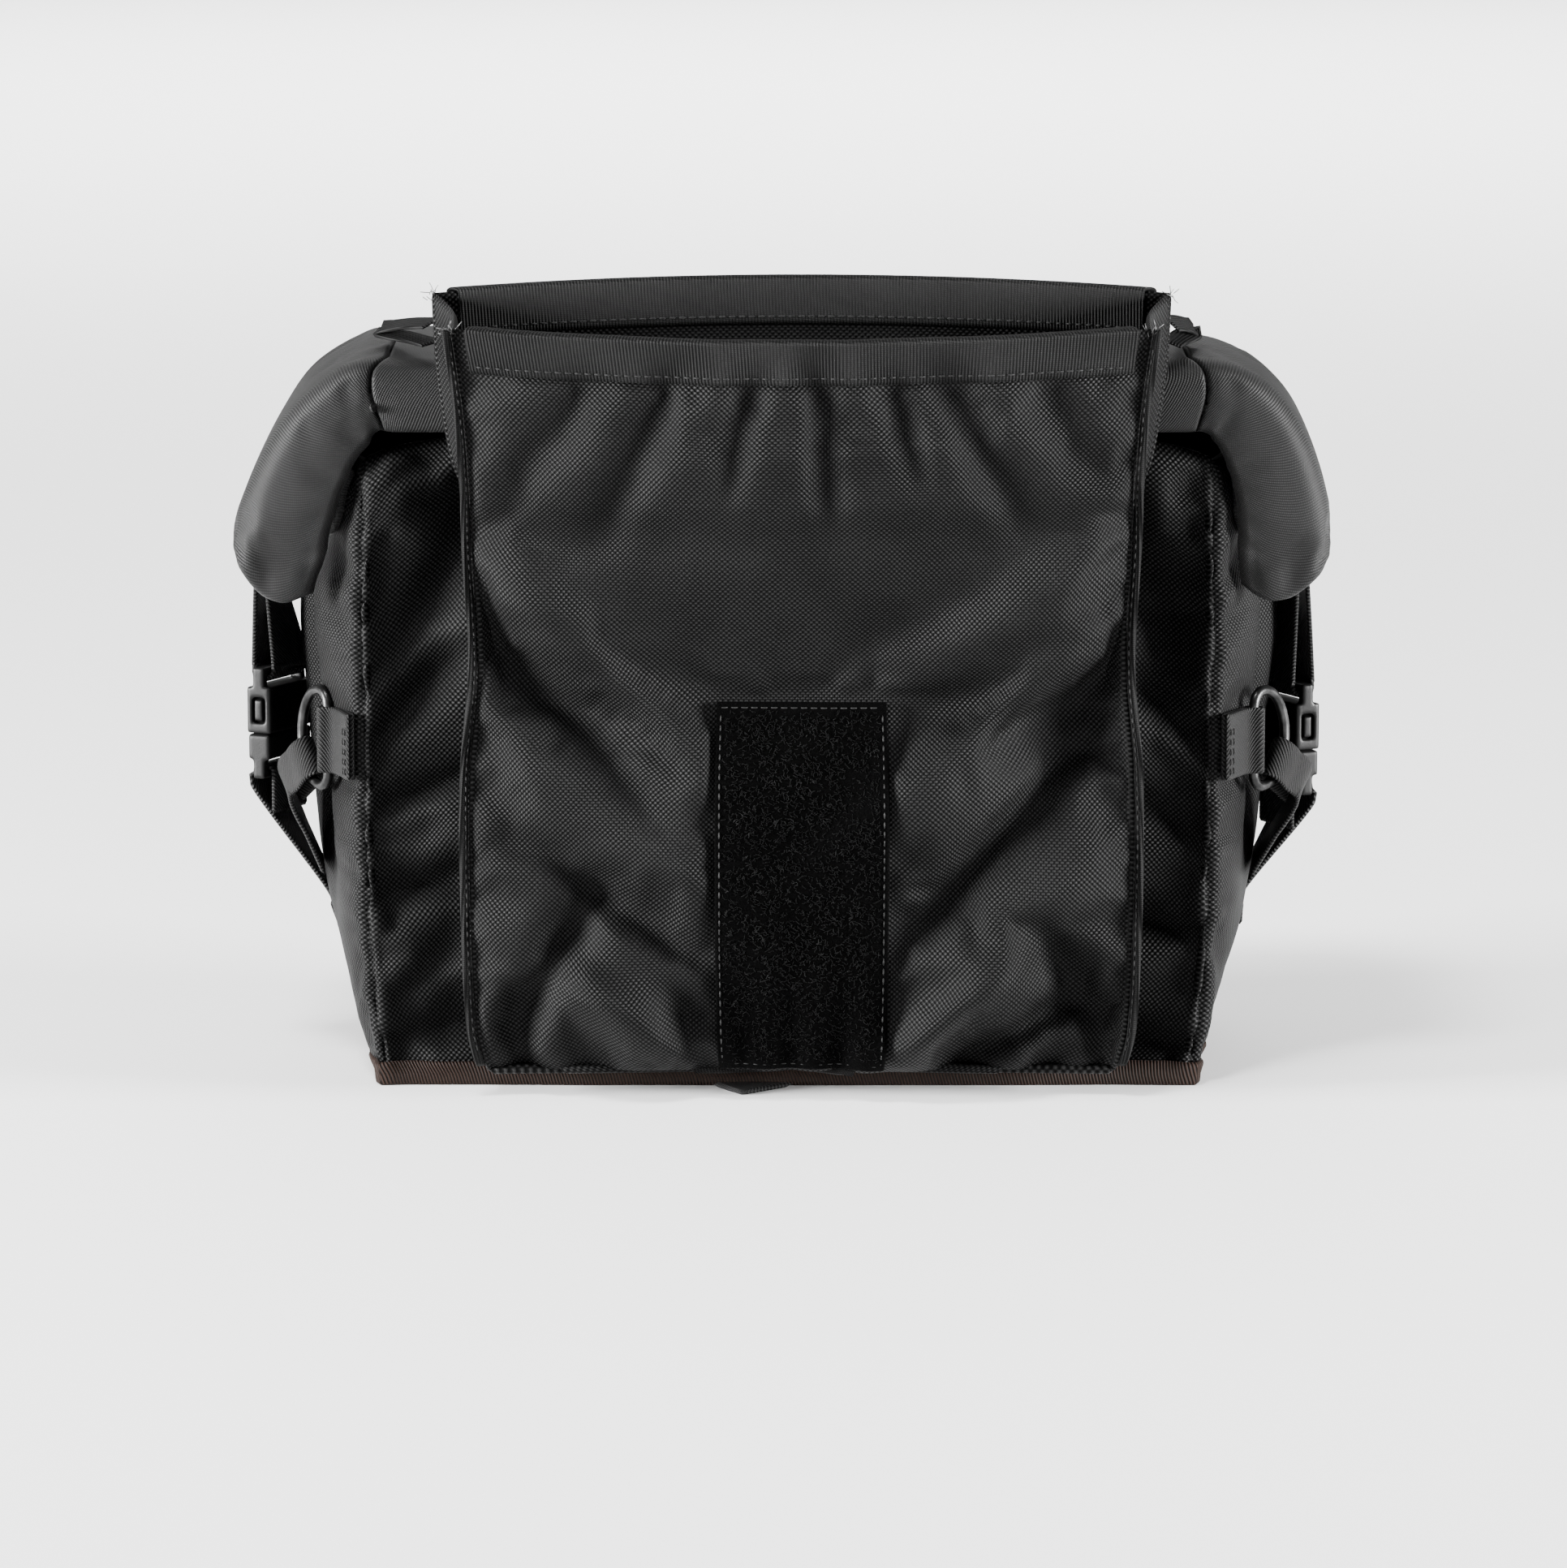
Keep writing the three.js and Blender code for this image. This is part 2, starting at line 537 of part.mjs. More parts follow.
// The flap at the top of each side, a sheet lifted off the side of the body with its front end rounded.
function buildSideFlaps() {
  const top = 1 - FLAP.drop;
  const low = top - FLAP_HEIGHT / (BODY_HEIGHT - SHELL_BOTTOM);
  for (const [name, side] of [["left", -1], ["right", 1]]) {
    const surface = (across, up) => {
      const end = Math.min(1, (across - FLAP.front) / FLAP.round);
      const rounded = FLAP.corner + (1 - FLAP.corner) * Math.sqrt(Math.max(0, 1 - (1 - end) ** 2));
      return sideWall(side, across, top - (top - up) * rounded);
    };
    const grid = (lift) =>
      steps(low, top, 4).map((up) =>
        steps(FLAP.front, FLAP.rear, 12).map((across) => surface(across, up).add(vec(side * lift, 0, 0))),
      );
    piece(`side_flap_${name}`, sheet(grid(GAP * 3 + FLAP_THICKNESS), grid(GAP * 3)), LID_FABRIC);
  }
}

// How far the pouch's rim lies below its top at a place round it.
function rimDrop(panel, t) {
  const { frontMiddle, frontCorner, backMiddle, backCorner } = RIM_SAG;
  const bow = arch(t, 2);
  if (panel === 0) return RIM_DROP * (frontCorner + (frontMiddle - frontCorner) * bow);
  if (panel === 2) return RIM_DROP * (backCorner + (backMiddle - backCorner) * bow);
  const towardsBack = panel === 1 ? t : 1 - t;
  return RIM_DROP * (frontCorner + (backCorner - frontCorner) * towardsBack);
}

const pouchFold = (across, up) =>
  POUCH_FOLDS.reduce((sum, fold) => sum + foldHeight(fold, across, up), 0) * FOLD_DEPTH;

const POUCH_BACK = FRONT_Y - GAP;
const POUCH_LEAN = LID_THICKNESS + GAP * 4;

// The pouch's wall, with its first parameter going round as the body's does.
function pouchWall(round, up, inset = 0) {
  const panel = Math.max(0, Math.min(3, Math.floor(round)));
  const t = round - panel;
  const at = (column) => follow(POUCH_SECTIONS, "up", column, up);
  const front = (POUCH_WIDTH / 2) * at("front") - inset;
  const back = (POUCH_WIDTH / 2) * at("back") - inset;
  const backY = POUCH_BACK - POUCH_LEAN * at("lean");
  const frontY = backY - POUCH_DEPTH * at("depth") + inset;
  const z = POUCH_BOTTOM + (POUCH_TOP - rimDrop(panel, t) - POUCH_BOTTOM) * up;
  if (panel === 0) {
    const out = POUCH_BELLY * at("belly") * arch(t, 2.2) + pouchFold(t, up) * arch(t, 8);
    return vec(POUCH_OFFSET + front * (2 * t - 1), frontY - out, z);
  }
  if (panel === 2) return vec(POUCH_OFFSET - back * (2 * t - 1), backY - inset, z);
  const s = panel === 1 ? t : 1 - t;
  const x = front + (back - front) * s - PLEAT_DEPTH * at("pleat") * arch(s, 1.4);
  return vec(POUCH_OFFSET + (panel === 1 ? x : -x), frontY + (backY - inset - frontY) * s, z);
}

const pouchShare = (length) => length / (POUCH_TOP - POUCH_BOTTOM);
const frontShare = (length) => length / (POUCH_TOP - RIM_DROP - POUCH_BOTTOM);

// The patch and the rim tapes use the wall's own stations, so that they lie flat against it.
const TAPE_LOW = 1 - pouchShare(RIM_TAPE);
const TAPE_END = 0.025;
const SOFT_GAP = GAP * 2.5;
const PATCH_HALF = PATCH_WIDTH / POUCH_WIDTH / 2;
const PATCH_ACROSS = steps(0.5 - PATCH_HALF, 0.5 + PATCH_HALF, 5);
const PATCH_UP = steps(frontShare(PATCH_LOW), frontShare(PATCH_LOW + PATCH_HEIGHT), 9);
const FRONT_ACROSS = [
  0,
  ...steps(TAPE_END, 0.5 - PATCH_HALF, 7).slice(0, -1),
  ...PATCH_ACROSS,
  ...steps(0.5 + PATCH_HALF, 1 - TAPE_END, 7).slice(1),
  1,
];
const BACK_ACROSS = steps(2 + TAPE_END, 3 - TAPE_END, 7);
const POUCH_STATIONS = [
  ...FRONT_ACROSS.slice(0, -1),
  ...steps(1, 2, 4),
  ...BACK_ACROSS,
  ...steps(3, 4, 4).slice(0, -1),
];
const POUCH_HEIGHTS = [
  0,
  ...PATCH_UP,
  ...steps(frontShare(PATCH_LOW + PATCH_HEIGHT), TAPE_LOW, 9).slice(1),
  1,
];

function buildPouch() {
  const ring = (up, inset) => POUCH_STATIONS.map((round) => pouchWall(round, up, inset));
  const floor = POUCH_WALL / (POUCH_TOP - POUCH_BOTTOM);
  piece("pouch_shell", vessel(ring, POUCH_HEIGHTS, floor, POUCH_WALL), FABRIC);
}

// The tape over a rim: a strip up the outside of the panel, over its edge and down the inside.
function buildRims() {
  const rims = [
    { name: "rim_binding_front", places: FRONT_ACROSS.slice(1, -1) },
    { name: "rim_binding_back", places: BACK_ACROSS },
  ];
  for (const { name, places } of rims) {
    const profile = (round, grow) => {
      const outside = (up) => pouchWall(round, up, -SOFT_GAP - grow);
      const inside = (up) => pouchWall(round, up, POUCH_WALL + SOFT_GAP + grow);
      const above = (p) => vec(p.x, p.y, p.z + GAP + grow);
      return [outside(TAPE_LOW), above(outside(1)), above(inside(1)), inside(TAPE_LOW)];
    };
    const grid = (grow) => places.map((round) => profile(round, grow));
    piece(name, sheet(grid(TAPE_THICKNESS), grid(0)), TAPE);
  }
}

// The raised seams at the pouch's front corners: thin fins that stand out at a slant.
function buildPouchSeams() {
  for (const [name, side, round] of [["left", -1, 0], ["right", 1, 1]]) {
    const out = vec(side * 0.85, -0.5, 0).normalize();
    const across = vec(-out.y * side, out.x * side, 0);
    const ring = (up) => {
      const corner = pouchWall(round, up);
      const near = corner.clone().addScaledVector(out, GAP);
      const far = near.clone().addScaledVector(out, SEAM_HEIGHT);
      const half = SEAM_THICKNESS / 2;
      return [
        near.clone().addScaledVector(across, -half),
        far.clone().addScaledVector(across, -half),
        far.clone().addScaledVector(across, half),
        near.clone().addScaledVector(across, half),
      ];
    };
    piece(`pouch_seam_${name}`, loft(POUCH_HEIGHTS.filter((up) => up > 0).map(ring)), TAPE);
  }
}

function buildPatch() {
  const grid = (lift) => PATCH_UP.map((up) => PATCH_ACROSS.map((across) => pouchWall(across, up, -lift)));
  piece("loop_patch", sheet(grid(SOFT_GAP + PATCH_THICKNESS), grid(SOFT_GAP)), LOOP);
}

// The webs: where they start up the pouch and end along the lid, and shares of their own height
const WEB = { start: 0.93, end: 0.96, behind: 2.4, drop: 0.25, narrow: 0.7, fold: 0.6 };

// The V-folded web from the pouch's rear seam to the seam of the lid.
function buildWebs() {
  const rise = LID_HEIGHT + LID_CROWN + GAP + WEB_HEIGHT / 2;
  for (const [name, side, round] of [["left", -1, 3], ["right", 1, 2]]) {
    const start = pouchWall(round, WEB.start);
    const from = vec(start.x + side * GAP * 2, start.y + GAP * 3, rise);
    const behind = LID_FRONT + RIDGE_DEPTH * WEB.behind;
    const to = vec(side * LID_FLAT * WEB.end, behind, rise - WEB_HEIGHT * WEB.drop);
    const fold = (t, lift) => {
      const middle = from.clone().lerp(to, t);
      const half = (WEB_HEIGHT / 2) * (1 - WEB.narrow * t);
      const edge = middle.x - side * lift;
      return [
        vec(edge, middle.y, middle.z + half),
        vec(edge - side * half * WEB.fold, middle.y, middle.z),
        vec(edge, middle.y, middle.z - half),
      ];
    };
    const grid = (lift) => steps(0, 1, 4).map((t) => fold(t, lift));
    piece(`web_${name}`, sheet(grid(0), grid(TAPE_THICKNESS)), TAPE);
  }
}

// A flat strap along a path of centre points, with its width held along one direction.
function ribbon(path, across, width = WEBBING, thickness = WEBBING_THICKNESS) {
  const rings = path.map((p, i) => {
    const tangent = path[Math.min(path.length - 1, i + 1)].clone().sub(path[Math.max(0, i - 1)]);
    const along = across.dot(tangent) / tangent.lengthSq();
    const wide = across.clone().addScaledVector(tangent, -along).normalize();
    const thick = tangent.cross(wide).normalize();
    const corner = (a, b) =>
      p.clone().addScaledVector(wide, (a * width) / 2).addScaledVector(thick, (b * thickness) / 2);
    return [corner(-1, -1), corner(1, -1), corner(1, 1), corner(-1, 1)];
  });
  return loft(rings);
}

// A D-ring in its own plane: a straight bar and a round bow, as a closed loop of round wire.
function ringPath() {
  const half = (RING_HEIGHT - RING_WIRE) / 2;
  const reach = RING_REACH - RING_WIRE;
  const bend = RING_WIRE * 1.5;
  const path = [vec(0, 0, -half * 0.5), vec(0, 0, 0), vec(0, 0, half * 0.5)];
  const arcs = 9;
  path.push(vec(0, 0, half - bend));
  path.push(vec(0, bend * 0.3, half - bend * 0.3));
  for (let i = 0; i <= arcs; i += 1) {
    const a = Math.PI / 2 - (Math.PI * i) / arcs;
    path.push(vec(0, bend + (reach - bend) * Math.cos(a), half * Math.sin(a)));
  }
  path.push(vec(0, bend * 0.3, -half + bend * 0.3));
  path.push(vec(0, 0, -half + bend));
  return path;
}

function wireLoop(path, radius, sides) {
  const rings = path.map((p, i) => {
    const before = path[(i - 1 + path.length) % path.length];
    const tangent = path[(i + 1) % path.length].clone().sub(before).normalize();
    const flat = vec(1, 0, 0);
    const other = tangent.clone().cross(flat);
    return Array.from({ length: sides }, (_, k) => {
      const a = (2 * Math.PI * k) / sides;
      const q = p.clone().addScaledVector(flat, radius * Math.cos(a));
      return q.addScaledVector(other, radius * Math.sin(a));
    });
  });
  return loft(rings, true);
}

const RING_PLACE = 0.13; // share of the side panel, from the front seam, where the ring's bar lies
const RING_STANDOFF = WEBBING_THICKNESS + GAP * 5 + RING_WIRE / 2;

function ringSeat(side) {
  const up = bodyShare(RING_Z);
  const seat = sideWall(side, RING_PLACE, up);
  const ahead = seat.clone().sub(sideWall(side, 0, up)).setZ(0).normalize();
  const out = vec(ahead.y * side, -ahead.x * side, 0);
  seat.addScaledVector(out, RING_STANDOFF);
  seat.z = RING_Z;
  const swing = ahead.clone().addScaledVector(out, 0.22).normalize();
  return { seat, swing, out, ahead };
}

function buildRings() {
  for (const [name, side] of [["left", -1], ["right", 1]]) {
    const { seat, swing, out, ahead } = ringSeat(side);
    const path = ringPath();
    const wire = wireLoop(path, RING_WIRE / 2, 6);
    const upright = vec(0, 0, 1);
    const normal = swing.clone().cross(upright).normalize();
    wire.applyMatrix4(new THREE.Matrix4().makeBasis(normal, swing, upright).setPosition(seat));
    piece(`d_ring_${name}`, wire, METAL);

    // The tab's section seen from above: a flat tail to the seam and an eye round the ring's bar.
    const eye = RING_WIRE / 2 + GAP;
    const shape = new THREE.Shape();
    const rim = eye + WEBBING_THICKNESS;
    const length = seat.clone().sub(sideWall(side, 0, bodyShare(RING_Z))).dot(ahead) - GAP;
    shape.moveTo(-length, -rim);
    shape.lineTo(0, -rim);
    shape.absarc(0, 0, rim, -Math.PI / 2, Math.PI / 2, false);
    shape.lineTo(-rim * 1.5, -rim + 2 * WEBBING_THICKNESS + GAP);
    shape.lineTo(-length, -rim + 2 * WEBBING_THICKNESS);
    shape.closePath();
    const hole = new THREE.Path();
    hole.absarc(0, 0, eye, 0, 2 * Math.PI, true);
    shape.holes.push(hole);
    const tab = new THREE.ExtrudeGeometry(shape, { depth: WEBBING, bevelEnabled: false, curveSegments: 6 });
    tab.translate(0, 0, -WEBBING / 2);
    tab.applyMatrix4(new THREE.Matrix4().makeBasis(ahead, out, ahead.clone().cross(out)).setPosition(seat));
    piece(`ring_tab_${name}`, geometryOf(solidOf(tab)), STRAP);
  }
}

// The buckle's own frame: X across its thickness, Y across its width and Z up from its lower end
const MALE_LENGTH = BUCKLE_LENGTH * 0.4;
const EYE_BAR = 2.4; // height of the bar that a strap wraps round
const EYE_SLOT = 3.6;
const EYE_THICKNESS = 4;
const EYE_HEIGHT = EYE_BAR + EYE_SLOT;
const PRONG_WIDTH = 3;
const STRAP_CLEARANCE = 0.5;

// A block with its long edges rounded, between two heights.
function block(thickness, width, low, high) {
  const x = thickness / 2;
  const y = width / 2;
  const round = thickness / 9;
  const shape = new THREE.Shape();
  shape.moveTo(-x + round, -y);
  shape.lineTo(x - round, -y);
  shape.quadraticCurveTo(x, -y, x, -y + round);
  shape.lineTo(x, y - round);
  shape.quadraticCurveTo(x, y, x - round, y);
  shape.lineTo(-x + round, y);
  shape.quadraticCurveTo(-x, y, -x, y - round);
  shape.lineTo(-x, -y + round);
  shape.quadraticCurveTo(-x, -y, -x + round, -y);
  const made = new THREE.ExtrudeGeometry(shape, { depth: high - low, bevelEnabled: false, curveSegments: 2 });
  made.translate(0, 0, low);
  return solidOf(made);
}

// A square block round a place, between two heights.
function brick(thickness, width, low, high, y = 0) {
  return solidOf(new THREE.BoxGeometry(thickness, width, high - low).translate(0, y, (low + high) / 2));
}

const eyeSlot = (low) => brick(BUCKLE_THICKNESS * 2, WEBBING + STRAP_CLEARANCE * 2, low, low + EYE_SLOT);

const FEMALE_FOOT = MALE_LENGTH + GAP;
const FEMALE_TOP = BUCKLE_LENGTH - EYE_HEIGHT;
const HOLLOW_TOP = FEMALE_TOP - BUCKLE_WALL;
const WINDOW = { low: FEMALE_FOOT + BUCKLE_WALL * 2, high: HOLLOW_TOP - BUCKLE_WALL };

function femaleHalf() {
  const wide = BUCKLE_WIDTH - 2 * BUCKLE_WALL;
  const deep = BUCKLE_THICKNESS - 2 * BUCKLE_WALL;
  return block(BUCKLE_THICKNESS, BUCKLE_WIDTH, FEMALE_FOOT, FEMALE_TOP)
    .add(block(EYE_THICKNESS, BUCKLE_WIDTH, HOLLOW_TOP, BUCKLE_LENGTH))
    .subtract(eyeSlot(FEMALE_TOP))
    .subtract(brick(deep, wide, FEMALE_FOOT - GAP, HOLLOW_TOP))
    .subtract(brick(deep * 0.8, BUCKLE_WIDTH * 2, WINDOW.low, WINDOW.high));
}

function maleHalf() {
  const arm = BUCKLE_THICKNESS - 2 * BUCKLE_WALL - GAP * 2;
  const side = (BUCKLE_WIDTH - PRONG_WIDTH) / 2 - BUCKLE_WALL - GAP;
  const foot = MALE_LENGTH - BUCKLE_WALL;
  const made = block(BUCKLE_THICKNESS * 0.9, BUCKLE_WIDTH, EYE_HEIGHT, MALE_LENGTH)
    .add(block(EYE_THICKNESS, BUCKLE_WIDTH, 0, EYE_HEIGHT + BUCKLE_WALL))
    .subtract(eyeSlot(EYE_BAR))
    .add(brick(arm, PRONG_WIDTH, foot, HOLLOW_TOP - GAP * 3));
  return [-1, 1].reduce((sum, end) => {
    const prong = brick(arm, PRONG_WIDTH, foot, HOLLOW_TOP - GAP * 3, end * side);
    const out = end * (side + BUCKLE_WALL + GAP);
    const button = brick(arm * 0.6, PRONG_WIDTH, WINDOW.low + GAP * 2, WINDOW.high - GAP * 2, out);
    return sum.add(prong).add(button);
  }, made);
}

// Each fastened buckle: its side, how far it hangs outside the front seam and the height of its lower end
const BUCKLES = {
  left: { side: -1, beyond: 27.5, low: 85 },
  right: { side: 1, beyond: 24.7, low: 80 },
};
const BUCKLE_Y = -6;
const ANCHOR = { across: 0.52, low: 40, high: 52 };
const SEWN_GAP = GAP * 5;

// The side view of a strap that comes down one face of a bar, passes under it and goes back up.
function hairpin(up, reach) {
  const side = EYE_THICKNESS / 2 + STRAP_CLEARANCE + WEBBING_THICKNESS / 2;
  const under = STRAP_CLEARANCE + WEBBING_THICKNESS / 2;
  return [
    vec(side, 0, reach),
    vec(side, 0, EYE_BAR * 0.8),
    vec(side * 0.96, 0, 0),
    vec(side * 0.6, 0, -under * 0.85),
    vec(0, 0, -under * 1.15),
    vec(-side * 0.6, 0, -under * 0.85),
    vec(-side * 0.96, 0, 0),
    vec(-side, 0, EYE_BAR * 0.8),
    vec(-side, 0, reach),
  ].map((p) => vec(p.x, 0, up * p.z));
}

function buildBuckles() {
  for (const [name, { side, beyond, low }] of Object.entries(BUCKLES)) {
    const out = BODY_WIDTH / 2 + beyond;
    const seat = new THREE.Matrix4().makeTranslation(side * out, BUCKLE_Y, low);
    for (const [half, solid] of [["female", femaleHalf()], ["male", maleHalf()]]) {
      const made = geometryOf(solid);
      made.applyMatrix4(seat);
      piece(`buckle_${half}_${name}`, made, PLASTIC);
    }
  }
}

// A hairpin moved to a buckle's bar, on the bag's left or right.
function hairpinAt(side, out, height, up) {
  return hairpin(up, EYE_BAR * 2.5).map((p) => vec(side * (out + up * p.x), BUCKLE_Y, height + p.z));
}

// Down from inside each wing, round the buckle's upper bar and back up to the wing.
function buildWingStraps() {
  for (const [name, { side, beyond, low }] of Object.entries(BUCKLES)) {
    const out = BODY_WIDTH / 2 + beyond;
    const wing = WINGS[name];
    const inside = (back, layer) => {
      const { point, normal } = lidLine(wing, LID_FLAT + wing.length - back);
      const lining = LID_THICKNESS + lidDip(wing, LID_FLAT + wing.length - back, BUCKLE_Y + WEBBING / 2);
      const depth = lining + GAP * 2 + layer * (WEBBING_THICKNESS + GAP);
      return point.addScaledVector(normal, -depth).setY(BUCKLE_Y);
    };
    const turn = hairpinAt(side, out, low + BUCKLE_LENGTH - EYE_BAR, 1);
    const start = [inside(WEBBING, 0.5), inside(WEBBING / 2, 0.5), inside(0, 0.5)];
    const end = [inside(0, 1.5), inside(WEBBING / 2, 1.5), inside(WEBBING * 0.9, 1.5)];
    piece(`wing_strap_${name}`, ribbon([...start, ...turn, ...end], vec(0, 1, 0)), STRAP);
  }
}

// From round each buckle's lower bar in to the side of the body, with its end sewn flat on it.
function buildAnchorStraps() {
  for (const [name, { side, beyond, low }] of Object.entries(BUCKLES)) {
    const out = BODY_WIDTH / 2 + beyond;
    const sewn = (height) => {
      const over = steps(ANCHOR.across - 0.1, ANCHOR.across + 0.1, 4);
      const walls = over.map((across) => side * sideWall(side, across, bodyShare(height)).x);
      return vec(side * (Math.max(...walls) + SEWN_GAP + WEBBING_THICKNESS / 2), BUCKLE_Y, height);
    };
    const loop = hairpinAt(side, out, low + EYE_BAR, -1);
    const tail = loop[0].clone().add(vec(0, 0, -EYE_BAR * 3));
    const wall = steps(ANCHOR.high, ANCHOR.low, 2).map(sewn);
    piece(`anchor_strap_${name}`, ribbon([tail, ...loop, ...wall], vec(0, 1, 0)), STRAP);
  }
}

const RING_STRAP = { width: 13, turn: 38, across: 0.32, height: 62 };

// The ring strap's way round the ring's bow, as shares of its clearance from the wire's middle. Rows with inner
// set lie further in, where the strap's edges meet the round bow.
const RING_STRAP_VIEW = [
  { along: 4, off: -0.5, inner: 0 },
  { along: 1, off: -1, inner: 0 },
  { along: 0, off: -1, inner: 1 },
  { along: -0.8, off: -0.6, inner: 1 },
  { along: -1.1, off: 0, inner: 1 },
  { along: -0.8, off: 0.6, inner: 1 },
  { along: 0, off: 1, inner: 1 },
  { along: 1, off: 1, inner: 0 },
  { along: 4, off: 0.6, inner: 0 },
];

// From round the ring's bow, at a slant, down and back to the side of the body.
function buildRingStraps() {
  for (const [name, side] of [["left", -1], ["right", 1]]) {
    const { seat, swing } = ringSeat(side);
    const upright = vec(0, 0, 1);
    const turn = -radians(RING_STRAP.turn);
    const bow = (RING_HEIGHT - RING_WIRE) / 2;
    const mix = (a, b) => swing.clone().multiplyScalar(a).addScaledVector(upright, b);
    const radial = mix(Math.cos(turn), Math.sin(turn)).normalize();
    const flat = mix(-Math.sin(turn), Math.cos(turn)).normalize();
    const normal = radial.clone().cross(flat).normalize();
    if (normal.x * side < 0) normal.negate();
    const bend = RING_WIRE * 1.5;
    const reach = RING_REACH - RING_WIRE - bend;
    const centre = seat.clone().add(mix(bend + reach * Math.cos(turn), bow * Math.sin(turn)));
    const clear = RING_WIRE / 2 + STRAP_CLEARANCE * 1.5 + WEBBING_THICKNESS / 2;
    const sagitta = bow - Math.sqrt(bow ** 2 - (RING_STRAP.width / 2) ** 2);
    const path = RING_STRAP_VIEW.map(({ along, off, inner }) =>
      centre
        .clone()
        .addScaledVector(radial, clear * along - sagitta * inner)
        .addScaledVector(normal, clear * off),
    );
    const wall = sideWall(side, RING_STRAP.across, bodyShare(RING_STRAP.height));
    const end = wall.add(vec(side * (GAP * 3 + WEBBING_THICKNESS), 0, 0));
    path.push(path[path.length - 1].clone().lerp(end, 0.5), end);
    piece(`ring_strap_${name}`, ribbon(path, flat, RING_STRAP.width), STRAP);
  }
}

// The bar loop: its thickness as a share of the webbing's, its pad and waist as shares of the eye's radius, and
// half the turn of the eye's outside in radians
const BAR_LOOP = { thick: 1.6, pad: 1.15, waist: 0.6, waistUp: 0.92, opening: 1.97 };

// Plain loops on the back that go round a handlebar: a round eye on a flat pad.
function buildBarStraps() {
  const inner = BAR_DIAMETER / 2 + GAP * 2;
  const outer = inner + WEBBING_THICKNESS * BAR_LOOP.thick;
  const pad = outer * BAR_LOOP.pad;
  const shape = new THREE.Shape();
  shape.moveTo(0, -pad);
  shape.lineTo(WEBBING_THICKNESS, -pad);
  shape.lineTo(outer * BAR_LOOP.waist, -outer * BAR_LOOP.waistUp);
  shape.absarc(outer, 0, outer, -BAR_LOOP.opening, BAR_LOOP.opening, false);
  shape.lineTo(WEBBING_THICKNESS, pad);
  shape.lineTo(0, pad);
  shape.closePath();
  const hole = new THREE.Path();
  hole.absarc(outer, 0, inner, 0, 2 * Math.PI, true);
  shape.holes.push(hole);
  const extrusion = { depth: BAR_STRAP_WIDTH, bevelEnabled: false, curveSegments: 10 };
  const basis = new THREE.Matrix4().makeBasis(vec(0, 1, 0), vec(0, 0, 1), vec(1, 0, 0));
  for (const [name, side] of [["left", -1], ["right", 1]]) {
    const loop = new THREE.ExtrudeGeometry(shape, extrusion);
    const low = (side * BAR_STRAP_SPACING) / 2 - BAR_STRAP_WIDTH / 2;
    loop.applyMatrix4(basis.clone().setPosition(low, BACK_Y + GAP * 2, BAR_Z));
    piece(`bar_strap_${name}`, geometryOf(solidOf(loop)), STRAP);
  }
}

const TAB_POINT = 0.37; // where the base tab's point lies, as a share of its width from its left corner

// The pointed end of a strap that lies under the front edge of the base.
function buildBaseTab() {
  const start = FRONT_Y - BINDING_THICKNESS - GAP;
  const left = -TAB_SHIFT - TAB_WIDTH / 2;
  const shape = new THREE.Shape();
  shape.moveTo(left, start);
  shape.lineTo(left + TAB_WIDTH, start);
  shape.lineTo(left + TAB_WIDTH * TAB_POINT, start - TAB_LENGTH);
  shape.closePath();
  const tab = new THREE.ExtrudeGeometry(shape, { depth: WEBBING_THICKNESS, bevelEnabled: false });
  piece("base_tab", geometryOf(solidOf(tab)), STRAP);
}

bag.name = "handlebar_bag";
buildBody();
buildBase();
buildLid();
buildSideFlaps();
buildPouch();
buildRims();
buildPouchSeams();
buildPatch();
buildWebs();
buildRings();
buildBuckles();
buildWingStraps();
buildAnchorStraps();
buildRingStraps();
buildBarStraps();
buildBaseTab();

export default bag;
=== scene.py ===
# The look of a soft handlebar bag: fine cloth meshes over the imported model, with their materials, light and
# camera. Lengths are in millimetres until a mesh is made. The front faces -Y and +Z is up.
import functools
import math

import bpy
import numpy as np
from mathutils import Matrix, Vector


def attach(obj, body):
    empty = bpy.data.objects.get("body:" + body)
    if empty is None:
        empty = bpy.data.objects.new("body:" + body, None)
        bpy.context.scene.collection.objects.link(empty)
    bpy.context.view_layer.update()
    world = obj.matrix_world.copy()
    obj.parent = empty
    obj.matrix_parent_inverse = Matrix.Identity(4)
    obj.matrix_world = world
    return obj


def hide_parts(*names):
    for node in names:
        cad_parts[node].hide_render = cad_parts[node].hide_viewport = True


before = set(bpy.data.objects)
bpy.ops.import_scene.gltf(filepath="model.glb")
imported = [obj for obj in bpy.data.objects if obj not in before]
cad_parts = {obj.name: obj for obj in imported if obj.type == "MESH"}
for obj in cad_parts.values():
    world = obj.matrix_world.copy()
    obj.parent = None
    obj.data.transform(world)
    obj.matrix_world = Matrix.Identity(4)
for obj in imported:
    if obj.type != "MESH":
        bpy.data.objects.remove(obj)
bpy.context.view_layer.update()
MM = 0.001
TINY = 1e-9


def with_columns(columns, *rows):
    """A table: one dictionary for each row of values, under the named columns."""
    return [dict(zip(columns.split(), row)) for row in rows]


def grey(value):
    return (value, value, value)


# Driving dimensions of the body
BODY_WIDTH = 254
BODY_DEPTH = 130
BODY_HEIGHT = 195
BODY_WALL = 1.6
SIDE_BULGE = 18
CORNER_DROP = 8
CORNER_SHARPNESS = 8
BASE_THICKNESS = 3
BINDING_HEIGHT = 7
BINDING_THICKNESS = 2.2
BINDING_CROWN = 0.5
FLOOR_CLEARANCE = 0.05

